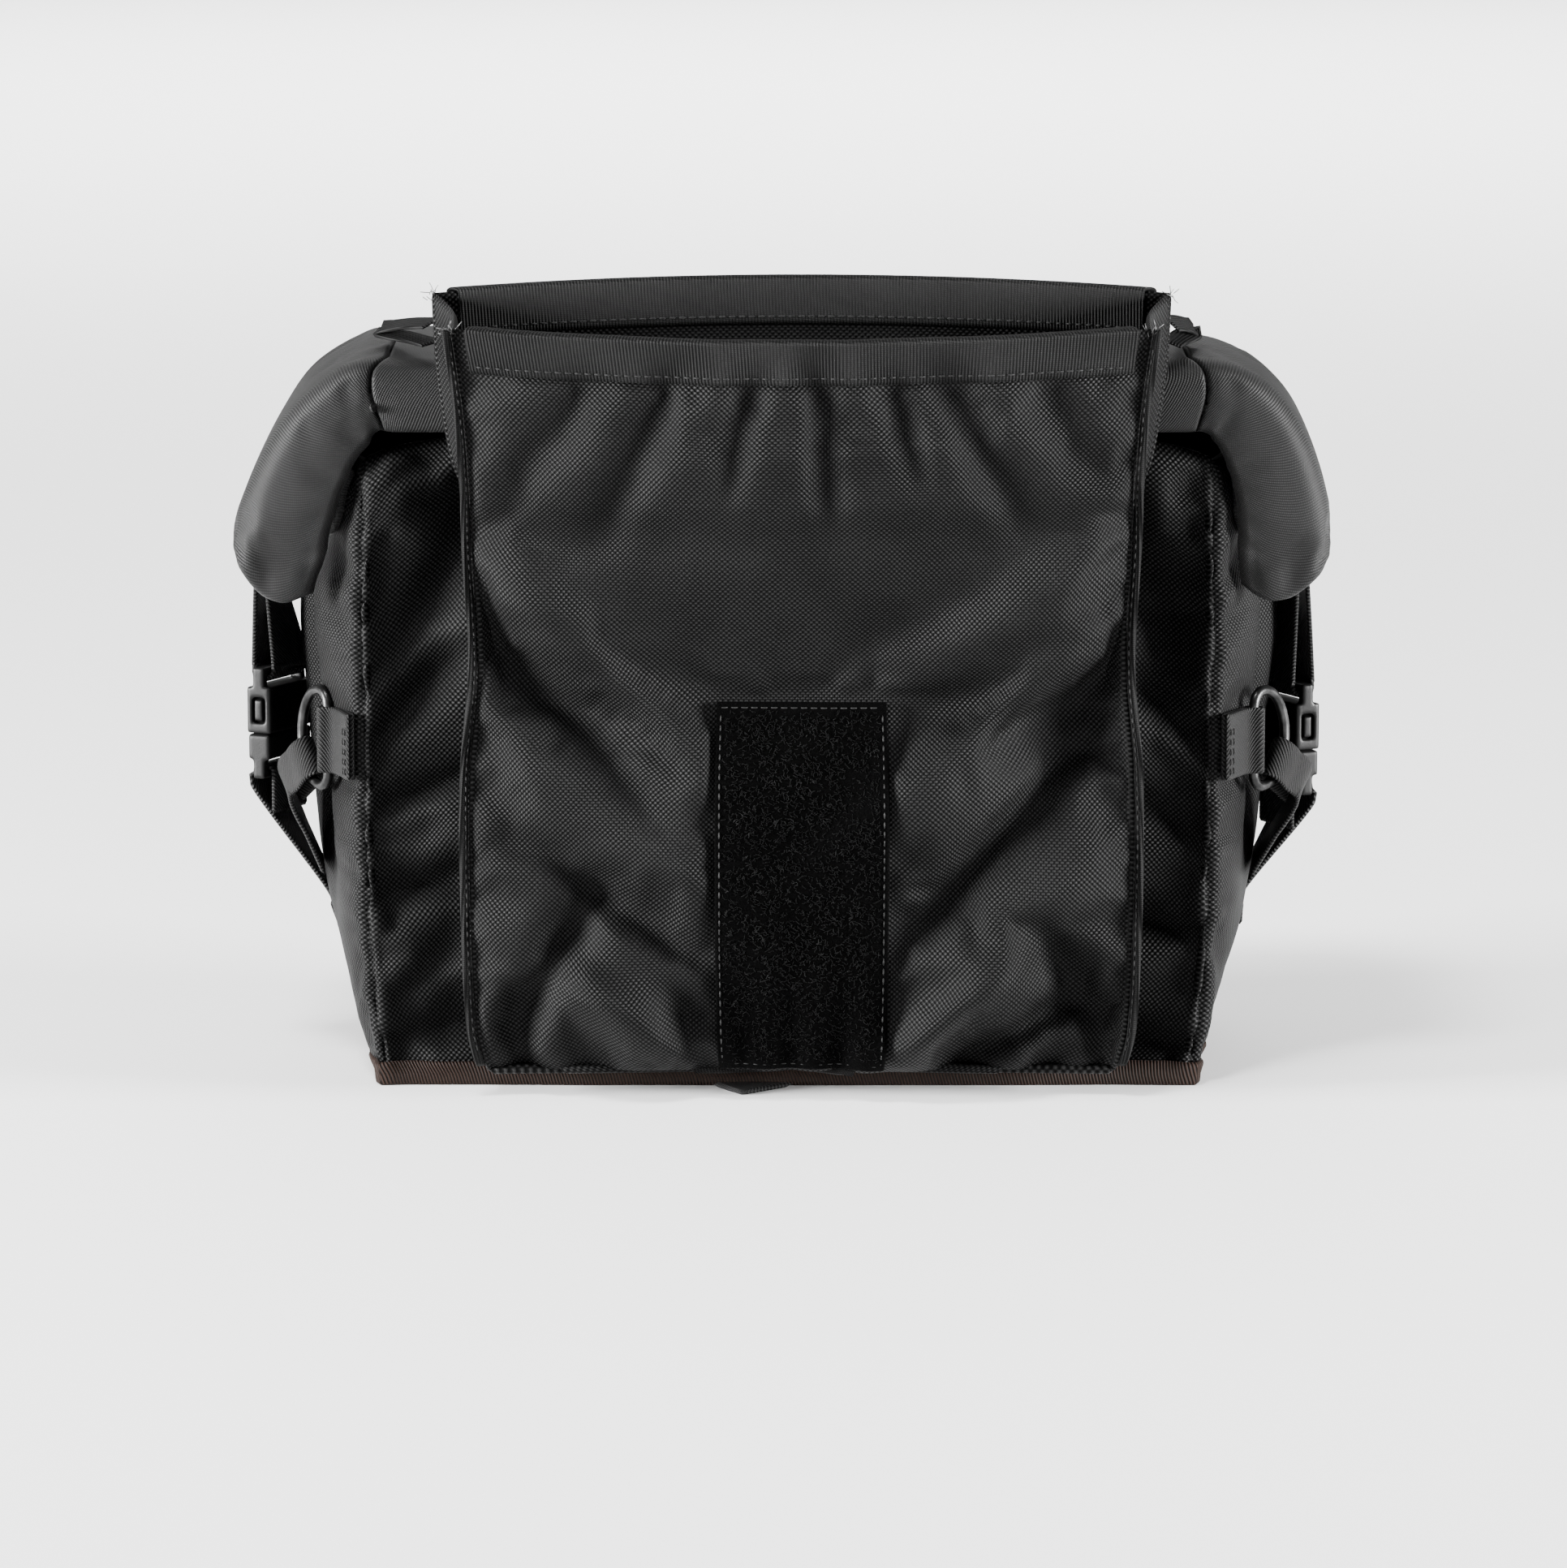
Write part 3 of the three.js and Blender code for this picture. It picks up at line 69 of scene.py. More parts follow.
# Driving dimensions of the lid
LID_RISE = 23
LID_THICKNESS = 4
LID_INSET = 2
LID_CROWN = 4
LIP_DEPTH = 22
LIP_END = 0.5  # share of the seam's way from the lip's edge to the ridge
LIP_SOFTNESS = 11
RIDGE_DEPTH = 12
REAR_DROP = 32
REAR_DIP = 5
REAR_TURN = {"start": 0.2, "length": 0.3}
DIP_CURVE = 1.5
LID_SEAM_GAP = 0.05
LID_SEAM_ROUND = 1.1
WING_FRONT_TAPER = 10
WING_REAR_TAPER = 40
WING_TAPER_CURVE = 1.4
WING_TIP = 13
WING_SPREAD = 0.28
ALLOWANCE = {"start": 0.965, "end": 1.035, "places": 7, "depth": 0.8}
FLAP_THICKNESS = 3
FLAP_HEIGHT = 22
FLAP = {"front": 0.05, "rear": 0.86, "drop": 0.015, "round": 0.1, "corner": 0.55}

# Driving dimensions of the pouch
POUCH_WIDTH = 195
POUCH_DEPTH = 40
POUCH_OFFSET = 4
POUCH_BOTTOM = 8
POUCH_TOP = 242
POUCH_WALL = 1.4
POUCH_BELLY = 14
BELLY_FULLNESS = 2.2
PLEAT_DEPTH = 8
PLEAT_FULLNESS = 1.4
RIM_DROP = 14
RIM_SAG = {"front_middle": 1, "front_corner": 0.78, "back_middle": 0, "back_corner": 0.3}
RIM_TAPE = 13
RIM_FOLD = {"side": 0.44, "turn": 0.12}  # shares of the tape on each side of the wall and over its edge
TAPE_THICKNESS = 1
TAPE_END = 0.025
SEAM_HEIGHT = 3
SEAM_THICKNESS = 1.6
SEAM_LEAN = {"out": 0.85, "ahead": 0.5}
SEAM_WAVE = {"high": 0.5, "rate": 0.16}
SEAM_CORNERS = (("left", -1, 0.0), ("right", 1, 1.0))  # name, side and place round the pouch
PATCH_WIDTH = 50
PATCH_HEIGHT = 110
PATCH_THICKNESS = 1.8
PATCH_LOW = 2
PATCH_BORDER = 2.6

# Driving dimensions of the webbing and the hardware
WEBBING = 20
WEBBING_THICKNESS = 1.5
STRAP_CLEARANCE = 0.5
RING_CLEARANCE = 0.75
RING_HEIGHT = 32
RING_REACH = 19
RING_WIRE = 3
RING_BEND = RING_WIRE * 1.5
RING_Z = 102
RING_PLACE = 0.13
RING_SWING = 0.22
RING_STRAP = {"width": 13, "turn": 38, "across": 0.32, "height": 62}
BUCKLE_LENGTH = 34
BUCKLE_Y = -6
BUCKLE_TURN = 26
BUCKLES = {"left": {"side": -1, "beyond": 27.5, "low": 85}, "right": {"side": 1, "beyond": 24.7, "low": 80}}
EYE_BAR = 2.4
EYE_THICKNESS = 4
ANCHOR = {"across": 0.52, "reach": 0.1, "places": 5, "low": 40, "high": 52}
SEWN_UNDER = (1, 0.5, 0)  # places of a strap's first and second layer inside a wing, in webbing widths
SEWN_OVER = (0, 0.5, 0.9)
STRAIGHT = (0.0, 1.0, 0.0)  # the way that the straps' width lies where they are sewn on
RING_TAB = {"middle": 0.6, "behind": 1.4, "closing": 0.9, "stitched": 1.6}
BAR_DIAMETER = 32
BAR_DROP = 44
BAR_STRAP_WIDTH = 25
BAR_STRAP_SPACING = 96
BAR_LAYERS = 1.6
BAR_LOOP_END = 1.02
BAR_PAD_REACH = 1.15
WEB_HEIGHT = 7
TAB_WIDTH = 24
TAB_LENGTH = 14
TAB_SHIFT = 10.4
TAB_POINT = 0.37
GAP = 0.3
SOFT_GAP = GAP * 2.5
STRAP_GAP = GAP * 5

SHELL_BOTTOM = BASE_THICKNESS + GAP
FRONT_Y = -BODY_DEPTH / 2
BACK_Y = BODY_DEPTH / 2
LID_FLAT = BODY_WIDTH / 2 - LID_INSET
LID_HEIGHT = BODY_HEIGHT + LID_RISE
LID_FRONT = FRONT_Y - GAP * 3 - LID_THICKNESS
LID_BACK = BACK_Y + GAP + LID_THICKNESS
TOP_FRONT = LID_FRONT + RIDGE_DEPTH
TOP_BACK = LID_BACK - LID_THICKNESS
BAR_Z = BODY_HEIGHT - BAR_DROP
POUCH_BACK = FRONT_Y - GAP
POUCH_LEAN = LID_THICKNESS + GAP * 4
TAPE_LOW = 1 - RIM_TAPE / (POUCH_TOP - POUCH_BOTTOM)
PATCH_HALF = PATCH_WIDTH / POUCH_WIDTH / 2

# Steps between a mesh's places and the widths of its rounded edges, and numbers of places
EDGE_PLACES = (0, 0.08, 0.25, 0.5, 0.75, 1.0)
EDGE_CLEAR = 1.2
EDGE_THIN = 0.04
BODY_MESH = {"front": 1.7, "side": 2.2, "back": 5, "edge": 5, "up": 2.2}
RIM_ROWS = [0.997, 1]
FLOOR_RINGS = {"body": 6, "base": 8, "middle": 0.004, "rim": 0.985}
BASE_MESH = {"around": 320, "up": 0.9}
LID_MESH = {"lid": 2.6, "wing": 1.8, "edge": 3, "lip": 24, "top": 46, "rear": 22, "line": 24, "soft": 9}
FLAP_MESH = {"across": 1.6, "up": 1.4, "edge": 2}
POUCH_MESH = {"front": 1.6, "side": 2.2, "back": 4, "edge": 4, "side_edge": 3, "up": 1.9}
TAPE_MESH = {
    "across": 1.4,
    "edge": 0.5,
    "side": 12,
    "step": 0.04,
    "share": 0.9,
    "turn": 13,
    "turn_reach": 0.08,
}
SEAM_MESH = {"up": 1.6, "edge": 0.8, "across": 7, "lowest": 0.004}
PATCH_MESH = {"step": 1.1, "edge": 1.0}
RING_MESH = {"bar": 12, "corner": 8, "bow": 30, "round": 12, "turn": 13}
LOOP_MESH = {"round": 60, "pad": 9}
STITCH_MESH = {"rim": 160, "seam": 300, "tab": 30, "patch_side": 120, "patch_level": 60}
STRAP_MESH = {"along": 1.0, "across": 1.6, "curve": 12}
TAB_MESH = {"long": 16, "wide": 24, "tip": 0.02}

# Body sections: height up the wall, then shares of half the width, of the side bulge and of half the depth
BODY_SECTIONS = with_columns(
    "up width bulge depth",
    (0, 0.95, 0.15, 0.985),
    (0.04, 0.962, 0.3, 1),
    (0.15, 0.982, 0.5, 1),
    (0.35, 0.996, 0.75, 1),
    (0.58, 1, 0.93, 1),
    (0.76, 1.004, 1, 1),
    (0.86, 1, 0.62, 1),
    (0.93, 1, 0.82, 1),
    (1, 0.995, 0.5, 0.995),
)
SEAM_NOTCH = {"deep": 2.2, "wide": 1.2}
RIM_ROLL = {"deep": 3.0, "start": 0.975}

# Folds: the panel (0 front, 1 right, 2 back, 3 left), the middle, half length and half width as shares of
# the panel, the turn in degrees from upright, and the height as a share of FOLD_DEPTH (a valley below zero)
FOLD_DEPTH = 5
FOLD_FADE = 14
BODY_FOLDS = with_columns(
    "panel across up long wide turn high",
    (0, 0.115, 0.8, 0.17, 0.04, 22, -1.3),
    (0, 0.075, 0.6, 0.09, 0.03, 40, -1.1),
    (0, 0.1, 0.46, 0.09, 0.022, 66, -0.9),
    (0, 0.08, 0.3, 0.08, 0.03, 78, -1.4),
    (0, 0.09, 0.07, 0.09, 0.03, 86, -1.2),
    (0, 0.9, 0.78, 0.16, 0.04, -18, -1.3),
    (0, 0.94, 0.58, 0.08, 0.028, -50, -1.1),
    (0, 0.92, 0.42, 0.08, 0.024, -66, -0.9),
    (0, 0.94, 0.24, 0.08, 0.03, -80, -1.4),
    (0, 0.93, 0.06, 0.08, 0.028, -84, -1.1),
    (1, 0.3, 0.62, 0.3, 0.07, 8, -1),
    (1, 0.62, 0.36, 0.24, 0.08, -18, -0.9),
    (1, 0.38, 0.16, 0.2, 0.07, 64, -0.7),
    (3, 0.7, 0.6, 0.3, 0.07, -8, -1),
    (3, 0.38, 0.38, 0.24, 0.08, 18, -0.9),
    (3, 0.62, 0.15, 0.2, 0.07, -64, -0.7),
)

# Creases: small random ridges, strongest at one place across the panel. Their lengths, widths and heights
# are in millimetres.
CREASE_COLUMNS = "panel across reach turn long wide high seed"
BODY_CREASES = with_columns(
    CREASE_COLUMNS,
    (0, 0, 0.22, 58, 42, 20, 2.1, 5),
    (0, 1, 0.22, -58, 42, 20, 2.1, 8),
    (1, 0.4, 0.6, 14, 80, 30, 1.5, 12),
    (2, 0.5, 0.7, 80, 90, 36, 1.2, 16),
    (3, 0.6, 0.6, -14, 80, 30, 1.5, 20),
)
POUCH_CREASES = with_columns(
    CREASE_COLUMNS,
    (0, 0.1, 0.34, -50, 80, 27, 2.4, 41),
    (0, 0.92, 0.34, 48, 80, 27, 2.4, 52),
    (0, 0.5, 0.4, 84, 90, 34, 1.3, 63),
)
CREASE_BEND = {"high": 0.7, "along": 1.4, "beside": 0.6}
CREASE_ROUND = 0.015
CREASE_LEVEL = 0.75
LATTICE = 64

# Puckers beside the body's seams and a soft swell over its panels: heights in mm, rates in radians a mm
PUCKER = {"fade": 9, "high": 0.5, "rate": 0.31, "drift": 0.083, "sway": 2.2}
FINE_PUCKER = {"high": 0.18, "rate": 0.73, "start": 1.3}
SWELL = {"high": 0.5, "x": 0.062, "along": 0.041, "z": 0.055, "y": 0.07, "fade": 4}

# Pouch sections: height up the pouch, then shares of half the width at the front and rear seams, of the
# depth, of the belly, of the side pleat and of the lean out over the lid's lip
POUCH_SECTIONS = with_columns(
    "up front back depth belly pleat lean",
    (0, 0.95, 0.94, 0.42, 0.2, 0, 0),
    (0.02, 0.966, 0.95, 0.5, 0.35, 0.2, 0),
    (0.06, 0.985, 0.96, 0.56, 0.5, 0.6, 0),
    (0.2, 1, 0.97, 0.6, 0.75, 0.9, 0),
    (0.4, 1, 0.97, 0.63, 0.9, 1, 0),
    (0.55, 0.972, 0.97, 0.68, 1, 1, 0),
    (0.7, 0.988, 0.99, 0.75, 1, 0.8, 0),
    (0.74, 0.99, 1.02, 0.78, 0.98, 0.7, 0.15),
    (0.79, 0.99, 1.06, 0.83, 0.94, 0.6, 1),
    (0.9, 1.008, 1.1, 0.93, 0.92, 0.5, 1),
    (1, 1.04, 1.113, 1, 1, 0.35, 1),
)

# Folds of the pouch's front, as the body's are, with heights as shares of POUCH_FOLD_DEPTH
POUCH_FOLD_DEPTH = 8
POUCH_FOLD_FADE = 12
POUCH_FOLDS = with_columns(
    "across up long wide turn high",
    (0.5, 0.565, 0.34, 0.12, 88, -1.7),
    (0.16, 0.6, 0.26, 0.05, -50, 0.75),
    (0.15, 0.47, 0.24, 0.045, -48, -1),
    (0.24, 0.36, 0.26, 0.05, -50, 0.8),
    (0.2, 0.25, 0.2, 0.04, -58, -0.8),
    (0.86, 0.66, 0.26, 0.05, 58, 0.75),
    (0.93, 0.52, 0.16, 0.045, 60, -1.3),
    (0.76, 0.46, 0.26, 0.05, 52, 0.75),
    (0.8, 0.33, 0.22, 0.045, 46, -0.9),
    (0.86, 0.22, 0.18, 0.045, 52, 0.7),
    (0.12, 0.14, 0.14, 0.035, 36, -1),
    (0.27, 0.08, 0.14, 0.035, -60, 0.9),
    (0.34, 0.04, 0.08, 0.03, -30, -0.9),
    (0.72, 0.08, 0.14, 0.035, 58, 0.9),
    (0.82, 0.05, 0.12, 0.03, 66, -1.1),
    (0.93, 0.1, 0.12, 0.035, -40, -0.8),
    (0.13, 0.86, 0.1, 0.036, 44, -0.45),
    (0.27, 0.86, 0.13, 0.034, 30, -0.55),
    (0.41, 0.88, 0.09, 0.026, 16, -0.42),
    (0.53, 0.87, 0.12, 0.029, -7, -0.5),
    (0.65, 0.885, 0.08, 0.025, -20, -0.4),
    (0.76, 0.86, 0.13, 0.034, -34, -0.55),
    (0.89, 0.87, 0.1, 0.036, -46, -0.42),
)

# Short pulls in the pouch's front: height, pitch and reach in mm, and how its waves stray
SEAM_PULL = {"high": 0.75, "reach": 15, "pitch": 15, "sway": 1.7, "drift": 23, "slant": 60}
BASE_PULL = {"high": 1.6, "reach": 20, "pitch": 19, "sway": 1.9, "drift": 17}
RIM_WAVE = {"high": 0.9, "pitch": 46, "sway": 0.9, "drift": 29, "fade": 9}

# Each wing's slope below level, in degrees, and its dip as a share of REAR_DIP, from the lid's flat top on
BEND_COLUMNS = "along slope dip"
WINGS = {
    "left": {
        "side": -1,
        "length": 71,
        "bend": with_columns(
            BEND_COLUMNS,
            (0, 8, 0.92),
            (0.1, 32, 1),
            (0.3, 45, 0.3),
            (0.45, 56, 0.6),
            (0.65, 65, 0.65),
            (1, 72, 0.15),
        ),
    },
    "right": {
        "side": 1,
        "length": 74,
        "bend": with_columns(
            BEND_COLUMNS,
            (0, 5, 2.1),
            (0.1, 22, 1.9),
            (0.25, 42, 1),
            (0.42, 58, 0.4),
            (0.65, 72, 0.7),
            (1, 84, 0.25),
        ),
    },
}

# The lid's front profile: place along it, then shares of LIP_DEPTH, of RIDGE_DEPTH and of WING_TIP
LIP_PROFILE = with_columns(
    "place inward back tip",
    (0, 1, 0.06, 0.55),
    (0.2, 0.72, 0, 1),
    (0.4, 0.42, 0.02, 0.9),
    (0.6, 0.17, 0.09, 0.55),
    (0.8, 0.04, 0.42, 0.2),
    (1, 0, 1, 0),
)
LID_SEAM = with_columns("along out", (0, 0.985), (0.16, 1), (0.3, 0.985), (0.5, 0.945), (1, 0.92))

# The webs on the lid: where they start up the pouch and end on the lid, as shares of what they follow
WEB = {
    "start": 0.93,
    "end": 0.96,
    "back": 2.4,
    "sink": 0.25,
    "near": 0.75,
    "far": 0.22,
    "under": 0.6,
    "tilt": 0.12,
}
WEB_TURN = {"drop": 0.4, "reach": 0.03}

# A strap's side view round a buckle's bar: out as a share of its face, up of the bar or of its underside
HAIRPIN_REACH = 2.5
HAIRPIN = with_columns("out up", (1, 0.8), (0.96, 0), (0.6, -0.85))
HAIRPIN_FOOT = 1.15

# A strap's side view round a ring's bow: along and across it, in clearances, and shares of the bow's rise
RING_VIEW = with_columns(
    "rise along across",
    (0, 4, -0.5),
    (0, 1, -1),
    (1, 0, -1),
    (1, -0.8, -0.6),
    (1, -1.1, 0),
    (1, -0.8, 0.6),
    (1, 0, 1),
    (0, 1, 1),
    (0, 4, 0.6),
)

# The cloth simulation works ten times life size, where the solver's tolerances are small beside the folds
SIM = {"scale": 10, "frames": 20, "step": 4.2, "quality": 6, "tension": 18, "bending": 0.4}
SETTLED = {}
POUCH_SLACK = {"pressure": 0.25, "slack": 0.055, "cap": 5}
BODY_SLACK = with_columns(
    "pressure slack cap",
    (-0.12, 0.05, 3.5),
    (0.12, 0.03, 2),
    (0.12, 0.03, 2.5),
    (0.12, 0.03, 2),
)
PAD_SLACK = {"pressure": 0.5, "slack": 0.016, "cap": 1.6}
PAD_ROWS = 34
PIN_MARGIN = 0.01

# Small parts: curls of the loop patch, frayed ends, stitches and the buckles' moulded edges
CURL = {"count": 4200, "seed": 7, "small": 0.35, "large": 0.85, "stray": 0.25, "tall": 0.9, "sink": 0.12}
CURL_PLACES = 6
CURL_RADIUS = 0.085
FRAYS = {"count": 9, "long": 4, "shortest": 0.35, "drop": 1.2, "radius": 0.12, "places": 6, "seed": 19}
FRAY_SPREAD = np.array([1.6, 1.2, 1.5])
FRAY_WAY = np.array([0.5, 0.5, 0.35])
FRAY_LEAN = {"out": 0.25, "ahead": 0.2, "up": 0.55}
STITCH = {"pitch": 2.9, "shown": 0.74, "radius": 0.24, "proud": 1.6, "sunk": 0.6, "sides": 5}
SLIM = np.array([0.4, 0.9, 1, 1, 0.9, 0.4])  # a stitch's thickness along its length
STITCH_INSET = {"rim": 2.2, "tape_end": 1.5, "patch": 1.5, "tab": 1.5, "seam": 0.45}
STITCHED_SEAM = {"low": 0.03, "high": 0.985}
TAB_RUNS = {"near": 1.2, "far": 3.4}
MOULD = {"voxel": 0.42, "factor": 0.5, "iterations": 14}

# The cloths' ribs: how far apart they are, measured along the cloth
RIB = 1.6
FINE_RIB = 0.85
TAPE_RIB = 0.95
STRAP_RIB = 1.1

# Materials: shares for the shader, the bump's depth in mm, a soft noise and its share of the colour. The
# noise's scale counts per metre, or per millimetre of cloth where its source is UV.
SHADER_INPUTS = {
    "Roughness": "rough",
    "Metallic": "metal",
    "Sheen Weight": "sheen",
    "Specular IOR Level": "shine",
}
SHEEN_ROUGHNESS = 0.45
FINISH_ROWS = with_columns(
    "name rough metal sheen shine bump scale detail source share",
    ("body_cloth", 0.5, 0, 0, 0.044, 0.3, 38, 4, "Object", 0.3),
    ("lid_cloth", 0.55, 0, 0.01, 0.105, 0.12, 30, 3, "Object", 0.5),
    ("rim_ribbon", 0.6, 0, 0, 0.055, 0.3, 45, 4, "Object", 0.35),
    ("base_ribbon", 0.7, 0, 0.01, 0.08, 0.25, 50, 3, "Object", 0.3),
    ("strap_webbing", 0.55, 0, 0.01, 0.09, 0.3, 60, 3, "Object", 0.3),
    ("loop_pile", 0.95, 0, 0, 0.02, 0.5, 1.9, 5, "UV", 1),
    ("loop_fibre", 0.6, 0, 0, 0.07, 0.05, 420, 2, "Object", 1),
    ("sewing_thread", 0.6, 0, 0.02, 0.15, 0.08, 1600, 2, "Object", 1),
    ("loose_thread", 0.6, 0, 0.05, 0.2, 0.05, 900, 2, "Object", 1),
    ("moulded_plastic", 0.45, 0, 0, 0.12, 0.03, 90, 2, "Object", 1),
    ("ring_metal", 0.32, 0.9, 0, 0.5, 0.03, 240, 4, "Object", 1),
    ("floor_paint", 0.9, 0, 0, 0.1, 0.01, 1.5, 2, "Object", 1),
)
FINISHES = {row["name"]: row for row in FINISH_ROWS}
# Painted highlights on the yarn: a fine noise that lightens the body cloth's colour in small spots
PAINTED_YARN_HIGHLIGHT = (2.2, 1, "UV")
PAINTED_YARN_HIGHLIGHT_SHARE = 0.22
MOULD_GRAIN = (2600, 3)

# Where a pattern starts and by how much it changes the roughness
RUBBED = {"body_cloth": (0.6, -0.2), "moulded_plastic": (0.3, 0.22), "ring_metal": (0.22, 0.25)}

# Colours where a pattern reaches each place. In the cloths, tapes and webbing the pattern is mostly the
# weave's height, so their darker colours are painted shade between the threads and their lighter ones painted
# light on the ribs.
TONES = {
    "body_cloth": ((0.36, grey(0.0002)), (0.58, grey(0.001)), (0.86, grey(0.0125))),
    "lid_cloth": ((0.15, grey(0.0035)), (0.5, grey(0.0085)), (0.9, grey(0.02))),
    "rim_ribbon": ((0.15, grey(0.0005)), (0.5, grey(0.002)), (0.9, grey(0.013))),
    "base_ribbon": ((0.15, (0.002, 0.0011, 0.0008)), (0.85, (0.015, 0.0075, 0.005))),
    "strap_webbing": ((0.15, grey(0.001)), (0.5, grey(0.004)), (0.9, grey(0.023))),
    "loop_pile": ((0.42, grey(0.0002)), (0.6, grey(0.0006)), (0.78, grey(0.002))),
    "loop_fibre": ((0.38, grey(0.0003)), (0.56, grey(0.0009)), (0.7, grey(0.008))),
    "sewing_thread": ((0.3, grey(0.0015)), (0.7, grey(0.011))),
    "loose_thread": ((0.35, grey(0.008)), (0.65, grey(0.11))),
    "moulded_plastic": ((0.3, grey(0.0012)), (0.7, grey(0.0035))),
    "ring_metal": ((0.35, grey(0.012)), (0.7, grey(0.04))),
    "floor_paint": ((0, grey(0.9)), (1, grey(0.93))),
}

# Ribs and the thread across them: the way across and up the cloth and the period in mm. A level of 1 leaves
# the thread out.
WEAVES = {
    "lid_cloth": {"rib": (1, -0.6, FINE_RIB), "thread": (0.4, 1, FINE_RIB * 0.8), "level": 0.6},
    "rim_ribbon": {"rib": (1, 0.04, TAPE_RIB), "thread": (0.1, 1, 0.62), "level": 0.65},
    "base_ribbon": {"rib": (1, 0.3, TAPE_RIB), "thread": (0, 1, TAPE_RIB), "level": 1},
    "strap_webbing": {"rib": (0.8, 1, STRAP_RIB), "thread": (1, 0, 0.5), "level": 0.7},
}

# The camera, as the photograph was taken
PHOTO_SPAN = 465.3  # width that the photograph shows at the bag's front
CAMERA_DISTANCE = 2400
CAMERA_ELEVATION = 9
CAMERA_AIM = (-1.3, FRONT_Y, 91)
CAMERA_RANGE = 100
SENSOR = 36

# The room, in metres, watts and degrees
FLOOR_HALF = 12
WORLD_STRENGTH = 0.15
LIGHTS = with_columns(
    "name place size power aim spread",
    ("left", (-2.75, -0.8, 0.42), 0.9, 700, 0, 180),
    ("right", (2.75, -0.72, 0.38), 0.9, 590, 0, 180),
    ("front", (-0.5, -1.05, 2.3), 0.5, 72, 0, 180),
    ("top", (0, 0.5, 2.6), 2.6, 25, 0, 180),
    ("back", (0, 4.4, 2.4), 3.4, 230, 4, 110),
)


def add_camera():
    camera = bpy.data.cameras.new("camera")
    camera.sensor_fit = "HORIZONTAL"
    camera.sensor_width = SENSOR
    camera.lens = SENSOR * CAMERA_DISTANCE / PHOTO_SPAN
    camera.clip_end = CAMERA_RANGE
    holder = bpy.data.objects.new("camera", camera)
    rise = math.radians(CAMERA_ELEVATION)
    aim = Vector(CAMERA_AIM)
    place = aim + Vector((0, -math.cos(rise), math.sin(rise))) * CAMERA_DISTANCE
    holder.location = place * MM
    holder.rotation_euler = (aim - place).to_track_quat("-Z", "Y").to_euler()
    bpy.context.collection.objects.link(holder)
    bpy.context.scene.camera = holder


def follow(table, axis, column, at):
    """A smooth curve through a table's rows: one column's values where another reaches each share."""
    at = np.asarray(at, float)
    x = np.array([row[axis] for row in table], float)
    y = np.array([row[column] for row in table], float)
    low = np.maximum(np.arange(len(x)) - 1, 0)
    high = np.minimum(np.arange(len(x)) + 1, len(x) - 1)
    slope = (y[high] - y[low]) / (x[high] - x[low])
    i = np.clip(np.searchsorted(x, at, side="left") - 1, 0, len(x) - 2)
    span = x[i + 1] - x[i]
    t = np.clip((at - x[i]) / span, 0, 1)
    rise = (2 * t**3 - 3 * t**2 + 1) * y[i] + (3 * t**2 - 2 * t**3) * y[i + 1]
    return rise + (t**3 - 2 * t**2 + t) * span * slope[i] + (t**3 - t**2) * span * slope[i + 1]


def arch(t, fullness):
    """A hump from 0 at both ends to 1 in the middle, flatter there the fuller it is."""
    return 1 - np.abs(2 * t - 1) ** fullness


def fold_height(fold, across, up):
    lean = math.radians(fold["turn"])
    dx = across - fold["across"]
    dz = up - fold["up"]
    along = dx * math.sin(lean) + dz * math.cos(lean)
    beside = dx * math.cos(lean) - dz * math.sin(lean)
    return fold["high"] * np.exp(-((along / fold["long"]) ** 4) - (beside / fold["wide"]) ** 2)


def folds(table, across, up):
    return sum(fold_height(fold, across, up) for fold in table)


def value_noise(a, b, seed):
    """Smooth noise from -1 to 1 at places on a plane."""
    lattice = np.random.default_rng(seed).uniform(-1, 1, (LATTICE, LATTICE))
    i = np.floor(a).astype(int)
    j = np.floor(b).astype(int)
    s = a - i
    t = b - j
    s = s * s * (3 - 2 * s)
    t = t * t * (3 - 2 * t)
    near = lattice[i % LATTICE, j % LATTICE] * (1 - s) + lattice[(i + 1) % LATTICE, j % LATTICE] * s
    k = (j + 1) % LATTICE
    far = lattice[i % LATTICE, k] * (1 - s) + lattice[(i + 1) % LATTICE, k] * s
    return near * (1 - t) + far * t


def creases(table, across, up, width, height):
    """Many small soft ridges along each row's direction, in millimetres and never above zero."""
    total = np.zeros(np.broadcast(across, up).shape)
    for row in table:
        lean = math.radians(row["turn"])
        x = across * width
        z = up * height
        along = (x * math.sin(lean) + z * math.cos(lean)) / row["long"]
        beside = (x * math.cos(lean) - z * math.sin(lean)) / row["wide"]
        stray = value_noise(along * CREASE_BEND["along"], beside * CREASE_BEND["beside"], row["seed"] + 1)
        bent = beside + CREASE_BEND["high"] * stray
        ridge = 1 - 2 * np.sqrt(value_noise(along, bent, row["seed"]) ** 2 + CREASE_ROUND)
        near = np.exp(-(((across - row["across"]) / row["reach"]) ** 2))
        total = total + (ridge - CREASE_LEVEL) * row["high"] * near
    return total


def points(x, y, z):
    return np.stack(np.broadcast_arrays(x, y, z), axis=-1).astype(float)


def grid(rows, columns):
    """Two arrays that hold each row's and each column's value at every place of a grid."""
    return np.meshgrid(np.asarray(rows, float), np.asarray(columns, float), indexing="ij")


def spread(length, step, edge=0.0):
    """Shares along a length, one for each step, with closer ones where both edges round over."""
    middle = np.linspace(0, 1, max(2, int(round(length / step)) + 1))
    if not edge:
        return middle
    near = np.array(EDGE_PLACES) * edge / length
    clear = near[-1] * EDGE_CLEAR
    middle = middle[(middle > clear) & (middle < 1 - clear)]
    return np.concatenate([near, middle, 1 - near[::-1]])


def panels(front, side, back):
    """Places round a wall of four panels, from shares along its front, sides and back."""
    return np.concatenate([front[:-1], 1 + side[:-1], 2 + back[:-1], 3 + side[:-1]])


